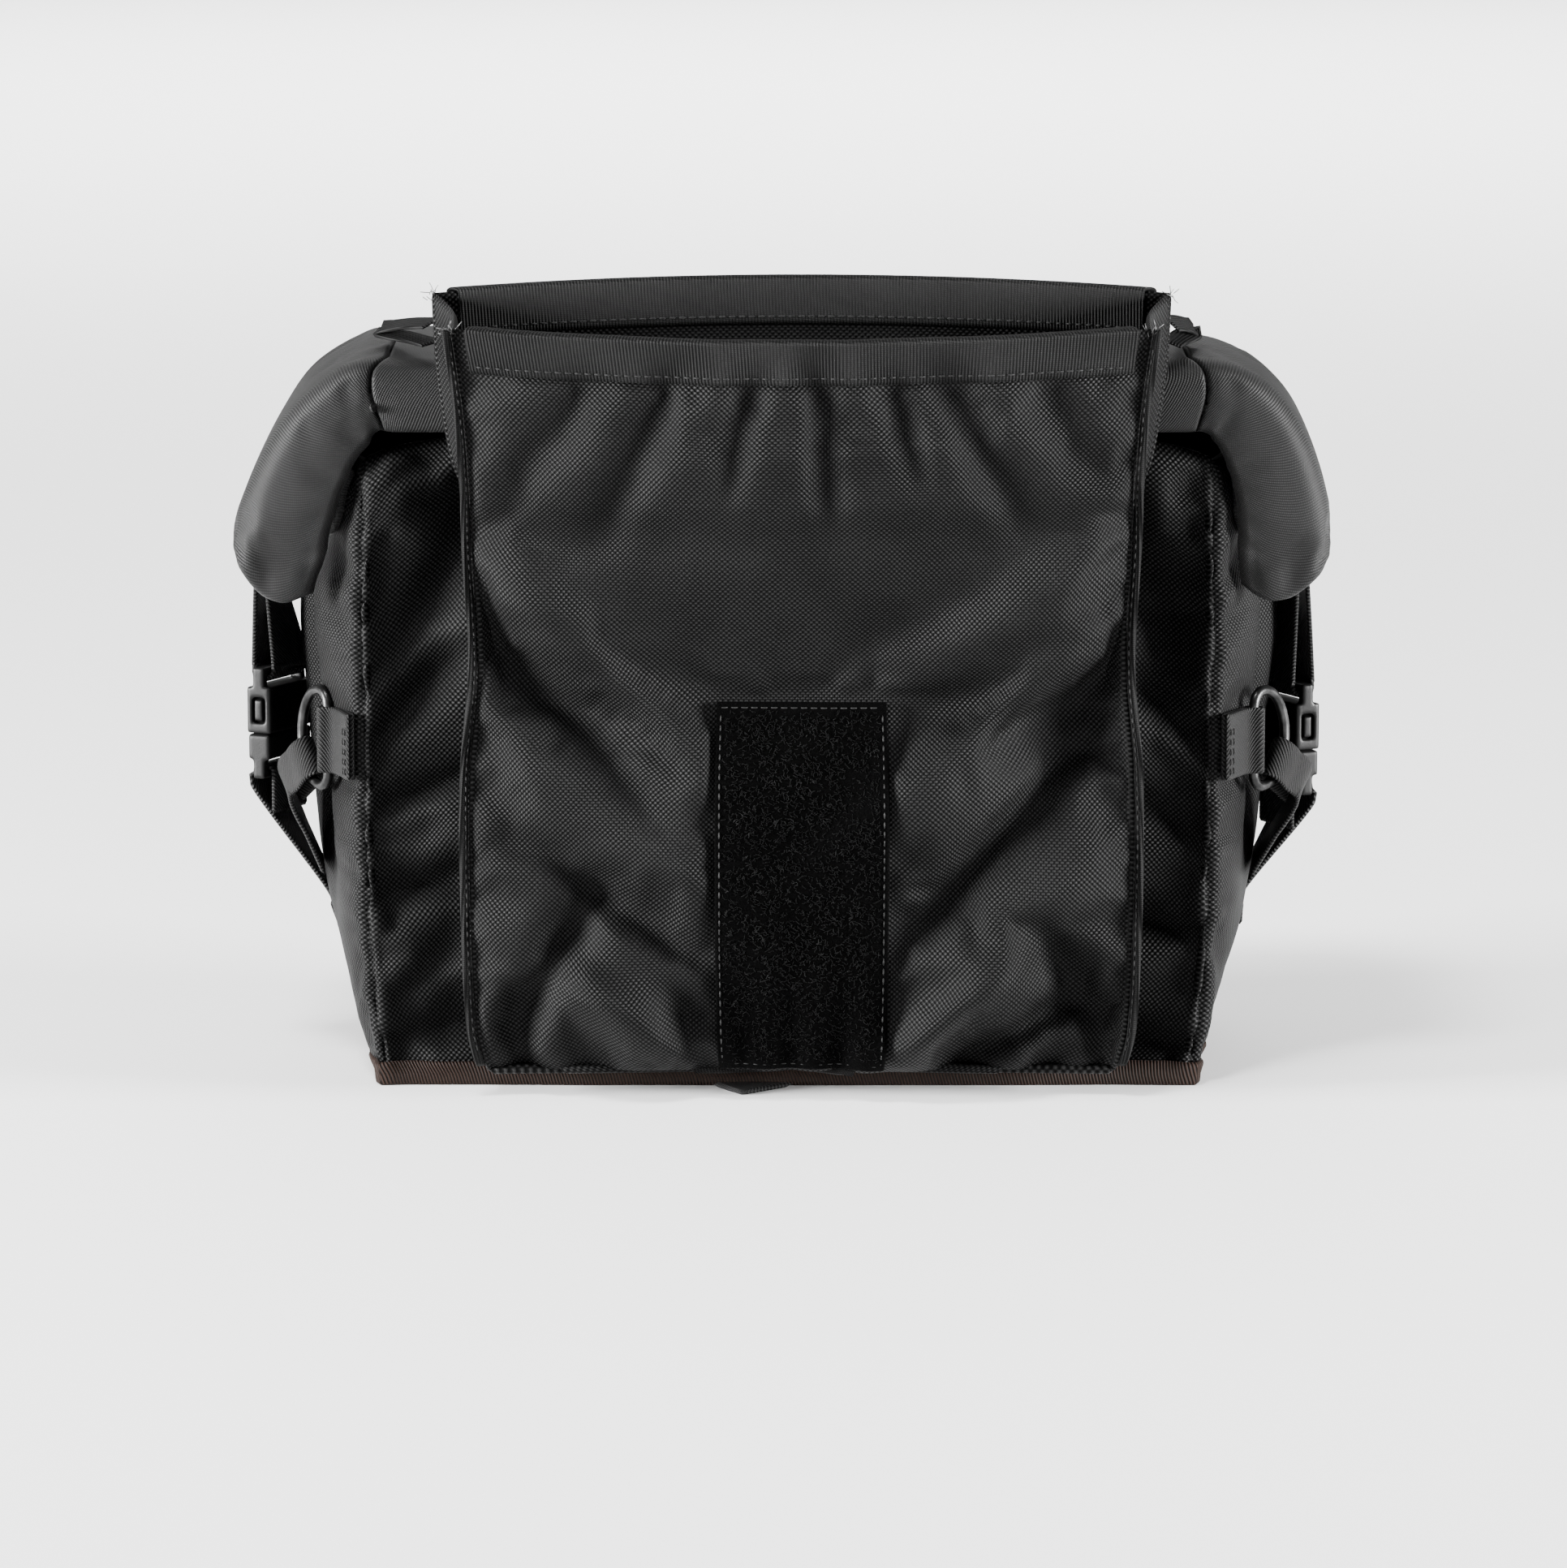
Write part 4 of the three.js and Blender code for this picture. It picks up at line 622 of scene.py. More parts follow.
def normals(surface, wrap=False):
    if wrap:
        across = np.roll(surface, -1, 1) - np.roll(surface, 1, 1)
    else:
        across = np.gradient(surface, axis=1)
    normal = np.cross(across, np.gradient(surface, axis=0))
    return normal / np.maximum(np.linalg.norm(normal, axis=2, keepdims=True), TINY)


def lengths(surface, axis):
    """How far each place of a grid lies along its row or column."""
    step = np.linalg.norm(np.diff(surface, axis=axis), axis=2)
    start = np.zeros_like(surface[..., 0])
    if axis == 1:
        start[:, 1:] = np.cumsum(step, axis=1)
    else:
        start[1:, :] = np.cumsum(step, axis=0)
    return start


def quads(rows, columns, wrap):
    i, j = np.meshgrid(np.arange(rows - 1), np.arange(columns if wrap else columns - 1), indexing="ij")
    k = (j + 1) % columns
    corners = np.stack([i * columns + j, i * columns + k, (i + 1) * columns + k, (i + 1) * columns + j], -1)
    wide = columns + 1 if wrap else columns
    places = np.stack([i * wide + j, i * wide + j + 1, (i + 1) * wide + j + 1, (i + 1) * wide + j], -1)
    return corners.reshape(-1, 4), places.reshape(-1, 4)


def signed_volume(vertices, faces):
    a, b, c, d = (vertices[faces[:, k]] for k in range(4))
    return float((a * np.cross(b, c)).sum() + (a * np.cross(c, d)).sum())


def unit(vector):
    return vector / np.linalg.norm(vector)


def show(name, mesh, material):
    """A smooth object for a mesh, in the scene and in one material."""
    mesh.polygons.foreach_set("use_smooth", np.ones(len(mesh.polygons), bool))
    mesh.materials.append(material)
    mesh.update()
    made = bpy.data.objects.new(name, mesh)
    bpy.context.collection.objects.link(made)
    return made


def make_mesh(name, vertices, faces, places, uv, material):
    if signed_volume(vertices, faces) < 0:
        faces = faces[:, ::-1]
        places = places[:, ::-1]
    mesh = bpy.data.meshes.new(name)
    mesh.from_pydata((vertices * MM).tolist(), [], faces.tolist())
    layer = mesh.uv_layers.new(name="UVMap")
    layer.data.foreach_set("uv", uv[places.reshape(-1)].astype(np.float32).reshape(-1))
    return show(name, mesh, material)


def slab(name, surface, thickness, material, wrap=False, seam=None):
    """A sheet with a real thickness, half to each side of a grid of places. Its UVs are in mm. Its edges are
    round, with a radius of their own where its columns end in a seam."""
    rows, columns = surface.shape[:2]
    edge = thickness / 2
    up = lengths(surface, 0)
    reach = np.minimum(up, up[-1:, :] - up) / edge
    ring = np.concatenate([surface, surface[:, :1]], axis=1) if wrap else surface
    across = lengths(ring, 1)
    if not wrap:
        reach = np.minimum(reach, np.minimum(across, across[:, -1:] - across) / (seam or edge))
    close = 1 - np.clip(reach, 0, 1)
    half = (edge * (EDGE_THIN + (1 - EDGE_THIN) * np.sqrt(1 - close**2)))[..., None]
    offset = normals(surface, wrap) * half
    vertices = np.concatenate([(surface + offset).reshape(-1, 3), (surface - offset).reshape(-1, 3)])
    tall = lengths(ring, 0)
    uv = np.stack([across.mean(0)[None, :] + 0 * across, tall.mean(1)[:, None] + 0 * tall], -1)
    faces, places = quads(rows, columns, wrap)
    count = rows * columns
    number = np.arange(count).reshape(rows, columns)
    wide = ring.shape[1]
    place = np.arange(rows * wide).reshape(rows, wide)
    if wrap:
        closed = np.concatenate([number, number[:, :1]], axis=1)
        borders = [(closed[0], place[0]), (closed[-1, ::-1], place[-1, ::-1])]
    else:
        borders = [
            (number[0], place[0]),
            (number[:, -1], place[:, -1]),
            (number[-1, ::-1], place[-1, ::-1]),
            (number[::-1, 0], place[::-1, 0]),
        ]
    all_faces = [faces, faces[:, ::-1] + count]
    all_places = [places, places[:, ::-1]]
    for line, at in borders:
        all_faces.append(np.stack([line[1:], line[:-1], line[:-1] + count, line[1:] + count], -1))
        all_places.append(np.stack([at[1:], at[:-1], at[:-1], at[1:]], -1))
    faces = np.concatenate(all_faces)
    return make_mesh(name, vertices, faces, np.concatenate(all_places), uv.reshape(-1, 2), material)


def limited(move, cap):
    """Moves whose lengths level off at a limit."""
    far = np.linalg.norm(move, axis=2, keepdims=True)
    return move * cap * np.tanh(far / cap) / np.maximum(far, TINY)


def simulate(surface, pinned, pressure, slack, cap):
    """How far each place of a sheet moves when its cloth has slack and is pushed outwards, up to a limit."""
    rows, columns = surface.shape[:2]
    faces = quads(rows, columns, False)[0]
    size = MM * SIM["scale"]
    mesh = bpy.data.meshes.new("settling")
    mesh.from_pydata((surface.reshape(-1, 3) * size).tolist(), [], faces.tolist())
    sheet = bpy.data.objects.new("settling", mesh)
    bpy.context.collection.objects.link(sheet)
    sheet.vertex_groups.new(name="sewn").add(np.flatnonzero(pinned).tolist(), 1, "REPLACE")
    cloth = sheet.modifiers.new("cloth", "CLOTH")
    cloth.point_cache.frame_end = SIM["frames"]
    settings = cloth.settings
    settings.quality = SIM["quality"]
    settings.tension_stiffness = SIM["tension"]
    settings.compression_stiffness = SIM["tension"]
    settings.bending_stiffness = SIM["bending"]
    settings.vertex_group_mass = "sewn"
    settings.use_pressure = True
    settings.uniform_pressure_force = pressure
    settings.shrink_min = -slack
    settings.effector_weights.gravity = 0
    for number in range(1, SIM["frames"] + 1):
        bpy.context.scene.frame_set(number)
    solved = sheet.evaluated_get(bpy.context.evaluated_depsgraph_get()).to_mesh()
    places = np.empty(len(solved.vertices) * 3)
    solved.vertices.foreach_get("co", places)
    move = places.reshape(rows, columns, 3) / size - surface
    bpy.data.objects.remove(sheet)
    bpy.data.meshes.remove(mesh)
    bpy.context.scene.frame_set(1)
    return limited(move, cap)


def settle(name, wall, width, height, pressure, slack, cap, held=None):
    """Simulates one panel, sewn down on all four sides, and keeps how far it moves."""
    rows, columns = grid(spread(height, SIM["step"]), spread(width, SIM["step"]))
    pinned = (rows <= 0) | (rows >= 1) | (columns <= 0) | (columns >= 1)
    if held is not None:
        pinned = pinned | held(columns, rows)
    SETTLED[name] = simulate(wall(columns, rows), pinned, pressure, slack, cap)


def settled(name, across, up):
    """How far a panel's simulated cloth has moved at each place."""
    across, up = np.broadcast_arrays(across, up)
    if name not in SETTLED:
        return np.zeros((*across.shape, 3))
    move = SETTLED[name]
    r = np.clip(up, 0, 1) * (move.shape[0] - 1)
    c = np.clip(across, 0, 1) * (move.shape[1] - 1)
    i = np.minimum(r.astype(int), move.shape[0] - 2)
    j = np.minimum(c.astype(int), move.shape[1] - 2)
    s = (r - i)[..., None]
    t = (c - j)[..., None]
    near = move[i, j] * (1 - t) + move[i, j + 1] * t
    far = move[i + 1, j] * (1 - t) + move[i + 1, j + 1] * t
    return near * (1 - s) + far * s


def stand_for(piece, slot, *nodes):
    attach(piece, "root")
    if nodes:
        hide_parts(*nodes)
    return piece


def body_wall(around, up):
    """The body's wall. Its first parameter goes round: 0 to 1 front, then right, back and left up to 4."""
    around, up = np.broadcast_arrays(np.asarray(around, float), np.asarray(up, float))
    panel = np.clip(np.floor(around), 0, 3)
    t = around - panel
    width = BODY_WIDTH / 2 * follow(BODY_SECTIONS, "up", "width", up)
    depth = BODY_DEPTH / 2 * follow(BODY_SECTIONS, "up", "depth", up)
    bulge = SIDE_BULGE * follow(BODY_SECTIONS, "up", "bulge", up)
    out = sum(folds([fold], t, up) * (panel == fold["panel"]) for fold in BODY_FOLDS) * FOLD_DEPTH
    for row in BODY_CREASES:
        size = BODY_DEPTH if row["panel"] % 2 else BODY_WIDTH
        out = out + creases([row], t, up, size, BODY_HEIGHT) * (panel == row["panel"])
    out = out * arch(t, FOLD_FADE)
    side = (panel == 1) | (panel == 3)
    across = 2 * t - 1
    drop = CORNER_DROP * np.where(side, 1, np.abs(across) ** CORNER_SHARPNESS)
    z = SHELL_BOTTOM + (BODY_HEIGHT - drop - SHELL_BOTTOM) * up
    sideways = width + bulge * arch(t, 2) + out
    turns = [panel == 0, panel == 1, panel == 2]
    x = np.select(turns, [width * across, sideways, -width * across], -sideways)
    y = np.select(turns, [-depth - out, depth * across, depth + out], -depth * across)
    move = sum(settled(f"body_{k}", t, up) * (panel == k)[..., None] for k in range(4))
    return points(x, y, z) + move


def body_share(z):
    return (z - SHELL_BOTTOM) / (BODY_HEIGHT - SHELL_BOTTOM)


def side_wall(side, across, up):
    return body_wall(1 + across if side > 0 else 4 - across, up)


def floor_rings(ring, count):
    """Rings that close the underside of a wall, from its middle out to its lowest ring."""
    middle = ring.mean(0)
    shares = np.linspace(FLOOR_RINGS["middle"], FLOOR_RINGS["rim"], count)
    return [middle + (ring - middle) * share for share in shares]


def add_body(material):
    step = BODY_MESH
    front = spread(BODY_WIDTH, step["front"], step["edge"])
    side = spread(BODY_DEPTH, step["side"], step["edge"])
    back = spread(BODY_WIDTH, step["back"], step["edge"])
    up = np.concatenate([spread(BODY_HEIGHT, step["up"])[:-1], RIM_ROWS])
    rows, columns = grid(up, panels(front, side, back))
    panel = np.floor(columns)
    t = columns - panel
    edge = np.minimum(t, 1 - t) * np.where(panel % 2 == 0, BODY_WIDTH, BODY_DEPTH)
    notch = SEAM_NOTCH["deep"] * np.exp(-((edge / SEAM_NOTCH["wide"]) ** 2))
    rim = np.clip((rows - RIM_ROLL["start"]) / (1 - RIM_ROLL["start"]), 0, 1)
    roll = RIM_ROLL["deep"] * (1 - np.sqrt(1 - rim**2))
    wall = body_wall(columns, rows)
    inward = points(np.sign(wall[..., 0]), np.sign(wall[..., 1]), 0)
    sides = np.where(panel % 2 == 0, 0, 1)
    wall -= inward * notch[..., None]
    wall -= points(sides, 1 - sides, 0) * inward * roll[..., None]
    wall += normals(wall, True) * puckers(wall, columns)[..., None]
    surface = np.concatenate([np.array(floor_rings(wall[0], FLOOR_RINGS["body"])), wall])
    stand_for(slab("body", surface, BODY_WALL, material, wrap=True), "body_fabric", "body_shell")


def puckers(surface, around):
    """Small creases that run in from the seams, and a soft swell between them, in millimetres."""
    x, y, z = surface[..., 0], surface[..., 1], surface[..., 2]
    t = around - np.floor(around)
    near = np.exp(-np.minimum(t, 1 - t) * PUCKER["fade"])
    wave = np.sin(z * PUCKER["rate"] + np.sin(z * PUCKER["drift"]) * PUCKER["sway"]) * PUCKER["high"]
    wave = wave + np.sin(z * FINE_PUCKER["rate"] + FINE_PUCKER["start"]) * FINE_PUCKER["high"]
    soft = np.sin(x * SWELL["x"] + z * SWELL["along"]) * np.sin(z * SWELL["z"] - y * SWELL["y"])
    return wave * near + soft * SWELL["high"] * arch(t, SWELL["fade"])


def add_base(material, binding):
    around = np.linspace(0, 4, BASE_MESH["around"] + 1)[:-1]
    ring = body_wall(around, 0)
    ring[:, 2] = BASE_THICKNESS / 2
    surface = np.array(floor_rings(ring, FLOOR_RINGS["base"]) + [ring])
    stand_for(slab("base", surface, BASE_THICKNESS, material, wrap=True), "body_fabric", "base_panel")
    heights = spread(BINDING_HEIGHT, BASE_MESH["up"], BINDING_THICKNESS / 2)
    rows, columns = grid(heights * BINDING_HEIGHT, around)
    wall = body_wall(columns, np.maximum(0, body_share(rows)))
    wall[..., 2] = rows
    upright = points(0, 0, np.array([[0.0], [1.0]]))
    out = normals(np.repeat(wall[:1], 2, axis=0) + upright, True)[0]
    out *= np.sign((out * wall[0]).sum(-1, keepdims=True))
    stand = GAP * 2 + BINDING_THICKNESS / 2 - BINDING_CROWN * (2 * rows / BINDING_HEIGHT - 1) ** 2
    surface = wall + out[None] * stand[..., None]
    surface[..., 2] = np.clip(surface[..., 2], FLOOR_CLEARANCE, None)
    piece = slab("base_tape", surface, BINDING_THICKNESS, binding, wrap=True)
    stand_for(piece, "base_tape", "base_binding")


def lid_slope(wing, distance):
    past = (np.asarray(distance, float) - LID_FLAT) / wing["length"]
    return np.where(past > 0, np.radians(follow(wing["bend"], "along", "slope", past)), 0)


def lid_line(wing, distance):
    """The lid's outer line seen from the front: points and outward normals at distances from the middle."""
    distance = np.asarray(distance, float)
    x = np.minimum(distance, LID_FLAT)
    z = np.full_like(distance, LID_HEIGHT)
    past = np.maximum(distance - LID_FLAT, 0)
    pieces = LID_MESH["line"]
    for i in range(pieces):
        slope = lid_slope(wing, LID_FLAT + past * (i + 0.5) / pieces)
        x = x + np.cos(slope) * past / pieces
        z = z - np.sin(slope) * past / pieces
    near = np.linspace(-LIP_SOFTNESS, LIP_SOFTNESS, LID_MESH["soft"])
    turn = sum(lid_slope(wing, distance + step) for step in near) / len(near)
    side = wing["side"]
    return points(side * x, 0, z), points(side * np.sin(turn), 0, np.cos(turn))


def rear_share(y):
    return np.clip((y - TOP_FRONT) / (TOP_BACK - TOP_FRONT), 0, 1)


def lid_dip(wing, distance, y):
    """How far the lid lies in from its outer line, at a distance from the middle and from front to rear."""
    past = (distance - LID_FLAT) / wing["length"]
    across = (wing["side"] * distance / LID_FLAT + 1) / 2
    left, right = (WINGS[name]["bend"][0]["dip"] for name in ("left", "right"))
    dip = np.where(past > 0, follow(wing["bend"], "along", "dip", past), left + (right - left) * across)
    return REAR_DIP * dip * rear_share(y) ** DIP_CURVE


def lid_surface(wing, share, seam_start, with_rear):
    """The outer face of the lid or a wing. Rows run from the front lip back, columns from the middle."""
    lip = np.linspace(0, 1, LID_MESH["lip"])
    top = np.linspace(0, 1, LID_MESH["top"])[1:]
    rear = np.linspace(1, 0, LID_MESH["rear"])[1:] if with_rear else np.array([])
    down = follow(LIP_PROFILE, "place", "inward", rear)
    low = np.clip((down - REAR_TURN["start"]) / REAR_TURN["length"], 0, 1)
    end = LID_BACK - RIDGE_DEPTH if with_rear else TOP_BACK
    y = np.concatenate([
        LID_FRONT + RIDGE_DEPTH * follow(LIP_PROFILE, "place", "back", lip),
        TOP_FRONT + (end - TOP_FRONT) * top,
        LID_BACK - RIDGE_DEPTH * follow(LIP_PROFILE, "place", "back", rear),
    ])[:, None]
    zeros = np.zeros(len(top) + len(rear))
    lip_depth = np.concatenate([LIP_DEPTH * follow(LIP_PROFILE, "place", "inward", lip), zeros])[:, None]
    tip = np.concatenate([WING_TIP * follow(LIP_PROFILE, "place", "tip", lip), zeros])[:, None]
    crown = np.concatenate([np.zeros(len(lip)), LID_CROWN * arch(top, 2), np.zeros(len(rear))])[:, None]
    drop = down * (LIP_DEPTH + (REAR_DROP - LIP_DEPTH) * low)
    drop = np.concatenate([np.zeros(len(lip) + len(top)), drop])[:, None]
    along = np.concatenate([lip * LIP_END, LIP_END + (1 - LIP_END) * top, np.ones(len(rear))])
    seam = LID_FLAT * follow(LID_SEAM, "along", "out", along)[:, None]
    if seam_start:
        first = seam + LID_SEAM_GAP
        distance = first + (LID_FLAT + wing["length"] + tip - first) * share[None, :]
    else:
        distance = seam * share[None, :]
    place, normal = lid_line(wing, distance)
    q = np.clip((distance - LID_FLAT) / wing["length"], 0, 1)
    inward = lip_depth * (1 + WING_SPREAD * q) - crown * (1 - q) ** 2 + drop + lid_dip(wing, distance, y)
    surface = place - normal * inward[..., None]
    back = rear_share(y)
    taper = WING_FRONT_TAPER * q**2 * (1 - back) - WING_REAR_TAPER * q**WING_TAPER_CURVE * back
    surface[..., 1] = y + taper
    return surface


def outwards(surface):
    """Normals that point up or out of the bag."""
    normal = normals(surface)
    lean = (normal * (surface - np.array([0, 0, BODY_HEIGHT / 2]))).sum()
    return normal if lean > 0 else -normal


def padded_surface(name, wing, share, seam_start, with_rear):
    """The outer face of a lid part, swollen by its padding between its sewn edges."""
    surface = lid_surface(wing, share, seam_start, with_rear)
    coarse = lid_surface(wing, spread(wing["length"], SIM["step"]), seam_start, with_rear)
    at = np.linspace(0, len(coarse) - 1, PAD_ROWS)
    low = np.minimum(at.astype(int), len(coarse) - 2)
    part = (at - low)[:, None, None]
    coarse = coarse[low] * (1 - part) + coarse[low + 1] * part
    pinned = np.ones(coarse.shape[:2], bool)
    pinned[1:-1, 1:-1] = False
    pressure = PAD_SLACK["pressure"] * wing["side"]
    SETTLED[name] = simulate(coarse, pinned, pressure, PAD_SLACK["slack"], PAD_SLACK["cap"])
    rows = np.linspace(0, 1, len(surface))
    return surface + settled(name, share[None, :], rows[:, None])


def sunk(surface, depth):
    """A surface of the lid moved in from its outer face."""
    return surface - outwards(surface) * depth


def add_lid(material):
    share = spread(LID_FLAT, LID_MESH["lid"], LID_MESH["edge"])
    left, right = (lid_surface(WINGS[name], share, False, True) for name in ("left", "right"))
    surface = sunk(np.concatenate([left[:, :0:-1], right], axis=1), LID_THICKNESS / 2)
    piece = slab("lid", surface, LID_THICKNESS, material, seam=LID_SEAM_ROUND)
    stand_for(piece, "lid_fabric", "lid_centre")
    for name, wing in WINGS.items():
        share = spread(wing["length"], LID_MESH["wing"], LID_MESH["edge"])
        surface = sunk(padded_surface(f"wing_{name}", wing, share, True, False), LID_THICKNESS / 2)
        piece = slab(f"wing_{name}", surface, LID_THICKNESS, material, seam=LID_SEAM_ROUND)
        stand_for(piece, "lid_fabric", f"lid_wing_{name}")
        share = np.linspace(ALLOWANCE["start"], ALLOWANCE["end"], ALLOWANCE["places"])
        surface = sunk(lid_surface(wing, share, False, False), LID_THICKNESS * ALLOWANCE["depth"])
        piece = slab(f"lid_seam_allowance_{name}", surface, TAPE_THICKNESS, material)
        stand_for(piece, "lid_fabric")


def add_side_flaps(material):
    top = 1 - FLAP["drop"]
    low = top - FLAP_HEIGHT / (BODY_HEIGHT - SHELL_BOTTOM)
    long = FLAP["rear"] - FLAP["front"]
    step = FLAP_MESH
    for name, side in (("left", -1), ("right", 1)):
        across = FLAP["front"] + long * spread(long * BODY_DEPTH, step["across"], step["edge"])
        rows, columns = grid(low + (top - low) * spread(FLAP_HEIGHT, step["up"], step["edge"]), across)
        end = np.minimum(1, (columns - FLAP["front"]) / FLAP["round"])
        rounded = FLAP["corner"] + (1 - FLAP["corner"]) * np.sqrt(1 - (1 - end) ** 2)
        surface = side_wall(side, columns, top - (top - rows) * rounded)
        surface[..., 0] += side * (GAP * 3 + FLAP_THICKNESS / 2)
        piece = slab(f"flap_{name}", surface, FLAP_THICKNESS, material)
        stand_for(piece, "lid_fabric", f"side_flap_{name}")


def rim_drop(panel, t):
    sag = RIM_SAG
    bow = arch(t, 2)
    front = sag["front_corner"] + (sag["front_middle"] - sag["front_corner"]) * bow
    back = sag["back_corner"] + (sag["back_middle"] - sag["back_corner"]) * bow
    towards = np.where(panel == 1, t, 1 - t)
    side = sag["front_corner"] + (sag["back_corner"] - sag["front_corner"]) * towards
    return RIM_DROP * np.select([panel == 0, panel == 2], [front, back], side)


def stray_wave(row, length):
    """A wave from -1 to 1 along a length, whose crests stray from an even pitch."""
    return np.sin(2 * math.pi * length / row["pitch"] + row["sway"] * np.sin(length / row["drift"]))


def pulls(t, up):
    """Short puckers beside the seams, above the base and along the rim, in millimetres."""
    x = (t - 0.5) * POUCH_WIDTH
    z = up * POUCH_TOP
    edge = np.minimum(t, 1 - t) * POUCH_WIDTH
    phase = 2 * math.pi * z / SEAM_PULL["pitch"] + SEAM_PULL["sway"] * np.sin(z / SEAM_PULL["drift"])
    pull = SEAM_PULL["high"] * np.sin(phase + x / SEAM_PULL["slant"]) * np.exp(-edge / SEAM_PULL["reach"])
    pull = pull + BASE_PULL["high"] * stray_wave(BASE_PULL, x) * np.exp(-z / BASE_PULL["reach"])
    return pull + RIM_WAVE["high"] * stray_wave(RIM_WAVE, x) * up ** RIM_WAVE["fade"]


def pouch_wall(around, up, inset=0.0):
    """The pouch's wall, or a wall inside it, with its first parameter as the body's."""
    around, up = np.broadcast_arrays(np.asarray(around, float), np.asarray(up, float))
    panel = np.clip(np.floor(around), 0, 3)
    t = around - panel
    at = {name: follow(POUCH_SECTIONS, "up", name, up) for name in POUCH_SECTIONS[0] if name != "up"}
    front = POUCH_WIDTH / 2 * at["front"] - inset
    back = POUCH_WIDTH / 2 * at["back"] - inset
    back_y = POUCH_BACK - POUCH_LEAN * at["lean"]
    front_y = back_y - POUCH_DEPTH * at["depth"] + inset
    z = POUCH_BOTTOM + (POUCH_TOP - rim_drop(panel, t) - POUCH_BOTTOM) * up
    fold = folds(POUCH_FOLDS, t, up) * POUCH_FOLD_DEPTH
    fold = fold + creases(POUCH_CREASES, t, up, POUCH_WIDTH, POUCH_TOP) + pulls(t, up)
    out = POUCH_BELLY * at["belly"] * arch(t, BELLY_FULLNESS) + fold * arch(t, POUCH_FOLD_FADE)
    s = np.where(panel == 1, t, 1 - t)
    sideways = front + (back - front) * s - PLEAT_DEPTH * at["pleat"] * arch(s, PLEAT_FULLNESS)
    beside = front_y + (back_y - inset - front_y) * s
    across = 2 * t - 1
    turns = [panel == 0, panel == 1, panel == 2]
    x = np.select(turns, [front * across, sideways, -back * across], -sideways)
    y = np.select([panel == 0, panel == 2], [front_y - out, back_y - inset], beside)
    return points(POUCH_OFFSET + x, y, z) + settled("pouch_front", t, up) * (panel == 0)[..., None]


def front_share(length):
    return length / (POUCH_TOP - RIM_DROP - POUCH_BOTTOM)


def add_pouch(material):
    step = POUCH_MESH
    front = spread(POUCH_WIDTH, step["front"], step["edge"])
    side = spread(POUCH_DEPTH, step["side"], step["side_edge"])
    back = spread(POUCH_WIDTH, step["back"], step["edge"])
    rows, columns = grid(spread(POUCH_TOP, step["up"]), panels(front, side, back))
    wall = pouch_wall(columns, rows)
    surface = np.concatenate([np.array(floor_rings(wall[0], FLOOR_RINGS["body"])), wall])
    outward = normals(surface, True)
    if (outward * (surface - surface.mean((0, 1)))).sum() < 0:
        outward = -outward
    surface = surface - outward * (POUCH_WALL / 2)
    stand_for(slab("pouch", surface, POUCH_WALL, material, wrap=True), "body_fabric", "pouch_shell")


def rim_surface(around, share):
    """The middle of a rim's tape: up the outside of the wall, over its edge and down the inside."""
    turn = np.clip((share - RIM_FOLD["side"]) / RIM_FOLD["turn"], 0, 1)
    outside = np.minimum(share / RIM_FOLD["side"], 1)
    inside = np.clip((1 - share) / RIM_FOLD["side"], 0, 1)
    up = TAPE_LOW + (1 - TAPE_LOW) * np.where(share < 0.5, outside, inside)
    far = SOFT_GAP + TAPE_THICKNESS / 2
    inset = -far + (POUCH_WALL + 2 * far) * (1 - np.cos(math.pi * turn)) / 2
    place = pouch_wall(around, up, inset)
    place[..., 2] += (GAP + TAPE_THICKNESS / 2) * np.sin(math.pi * turn)
    return place


def add_rims(material):
    step = TAPE_MESH
    flat = spread(1, step["step"])[: step["side"]] * step["share"]
    turn = np.linspace(0.5 - step["turn_reach"], 0.5 + step["turn_reach"], step["turn"])
    share = np.concatenate([flat, turn, 1 - flat[::-1]])
    for name, start in (("front", 0), ("back", 2)):
        along = spread(POUCH_WIDTH, step["across"], step["edge"])
        rows, columns = grid(share, start + TAPE_END + (1 - 2 * TAPE_END) * along)
        piece = slab(f"rim_tape_{name}", rim_surface(columns, rows), TAPE_THICKNESS, material)
        stand_for(piece, "rim_tape", f"rim_binding_{name}")


def seam_out(side):
    """The way that a front seam of the pouch stands out."""
    return unit(np.array([side * SEAM_LEAN["out"], -SEAM_LEAN["ahead"], 0.0]))


def seam_wave(z, side):
    return SEAM_WAVE["high"] * np.sin(z * SEAM_WAVE["rate"] + side)


def add_pouch_seams(material):
    heights = spread(POUCH_TOP, SEAM_MESH["up"], SEAM_MESH["edge"])
    heights = heights[heights > SEAM_MESH["lowest"]]
    for name, side, around in SEAM_CORNERS:
        rows, columns = grid(heights, np.linspace(0, 1, SEAM_MESH["across"]))
        corner = pouch_wall(np.full_like(rows, around), rows)
        surface = corner + seam_out(side) * (GAP + SEAM_HEIGHT * columns)[..., None]
        surface[..., 1] += seam_wave(corner[..., 2], side) * columns
        piece = slab(f"seam_{name}", surface, SEAM_THICKNESS, material)
        stand_for(piece, "rim_tape", f"pouch_seam_{name}")


def patch_surface(step, edge, lift):
    across = 0.5 - PATCH_HALF + 2 * PATCH_HALF * spread(PATCH_WIDTH, step, edge)
    up = front_share(PATCH_LOW) + front_share(PATCH_HEIGHT) * spread(PATCH_HEIGHT, step, edge)
    rows, columns = grid(up, across)
    return pouch_wall(columns, rows, -lift)


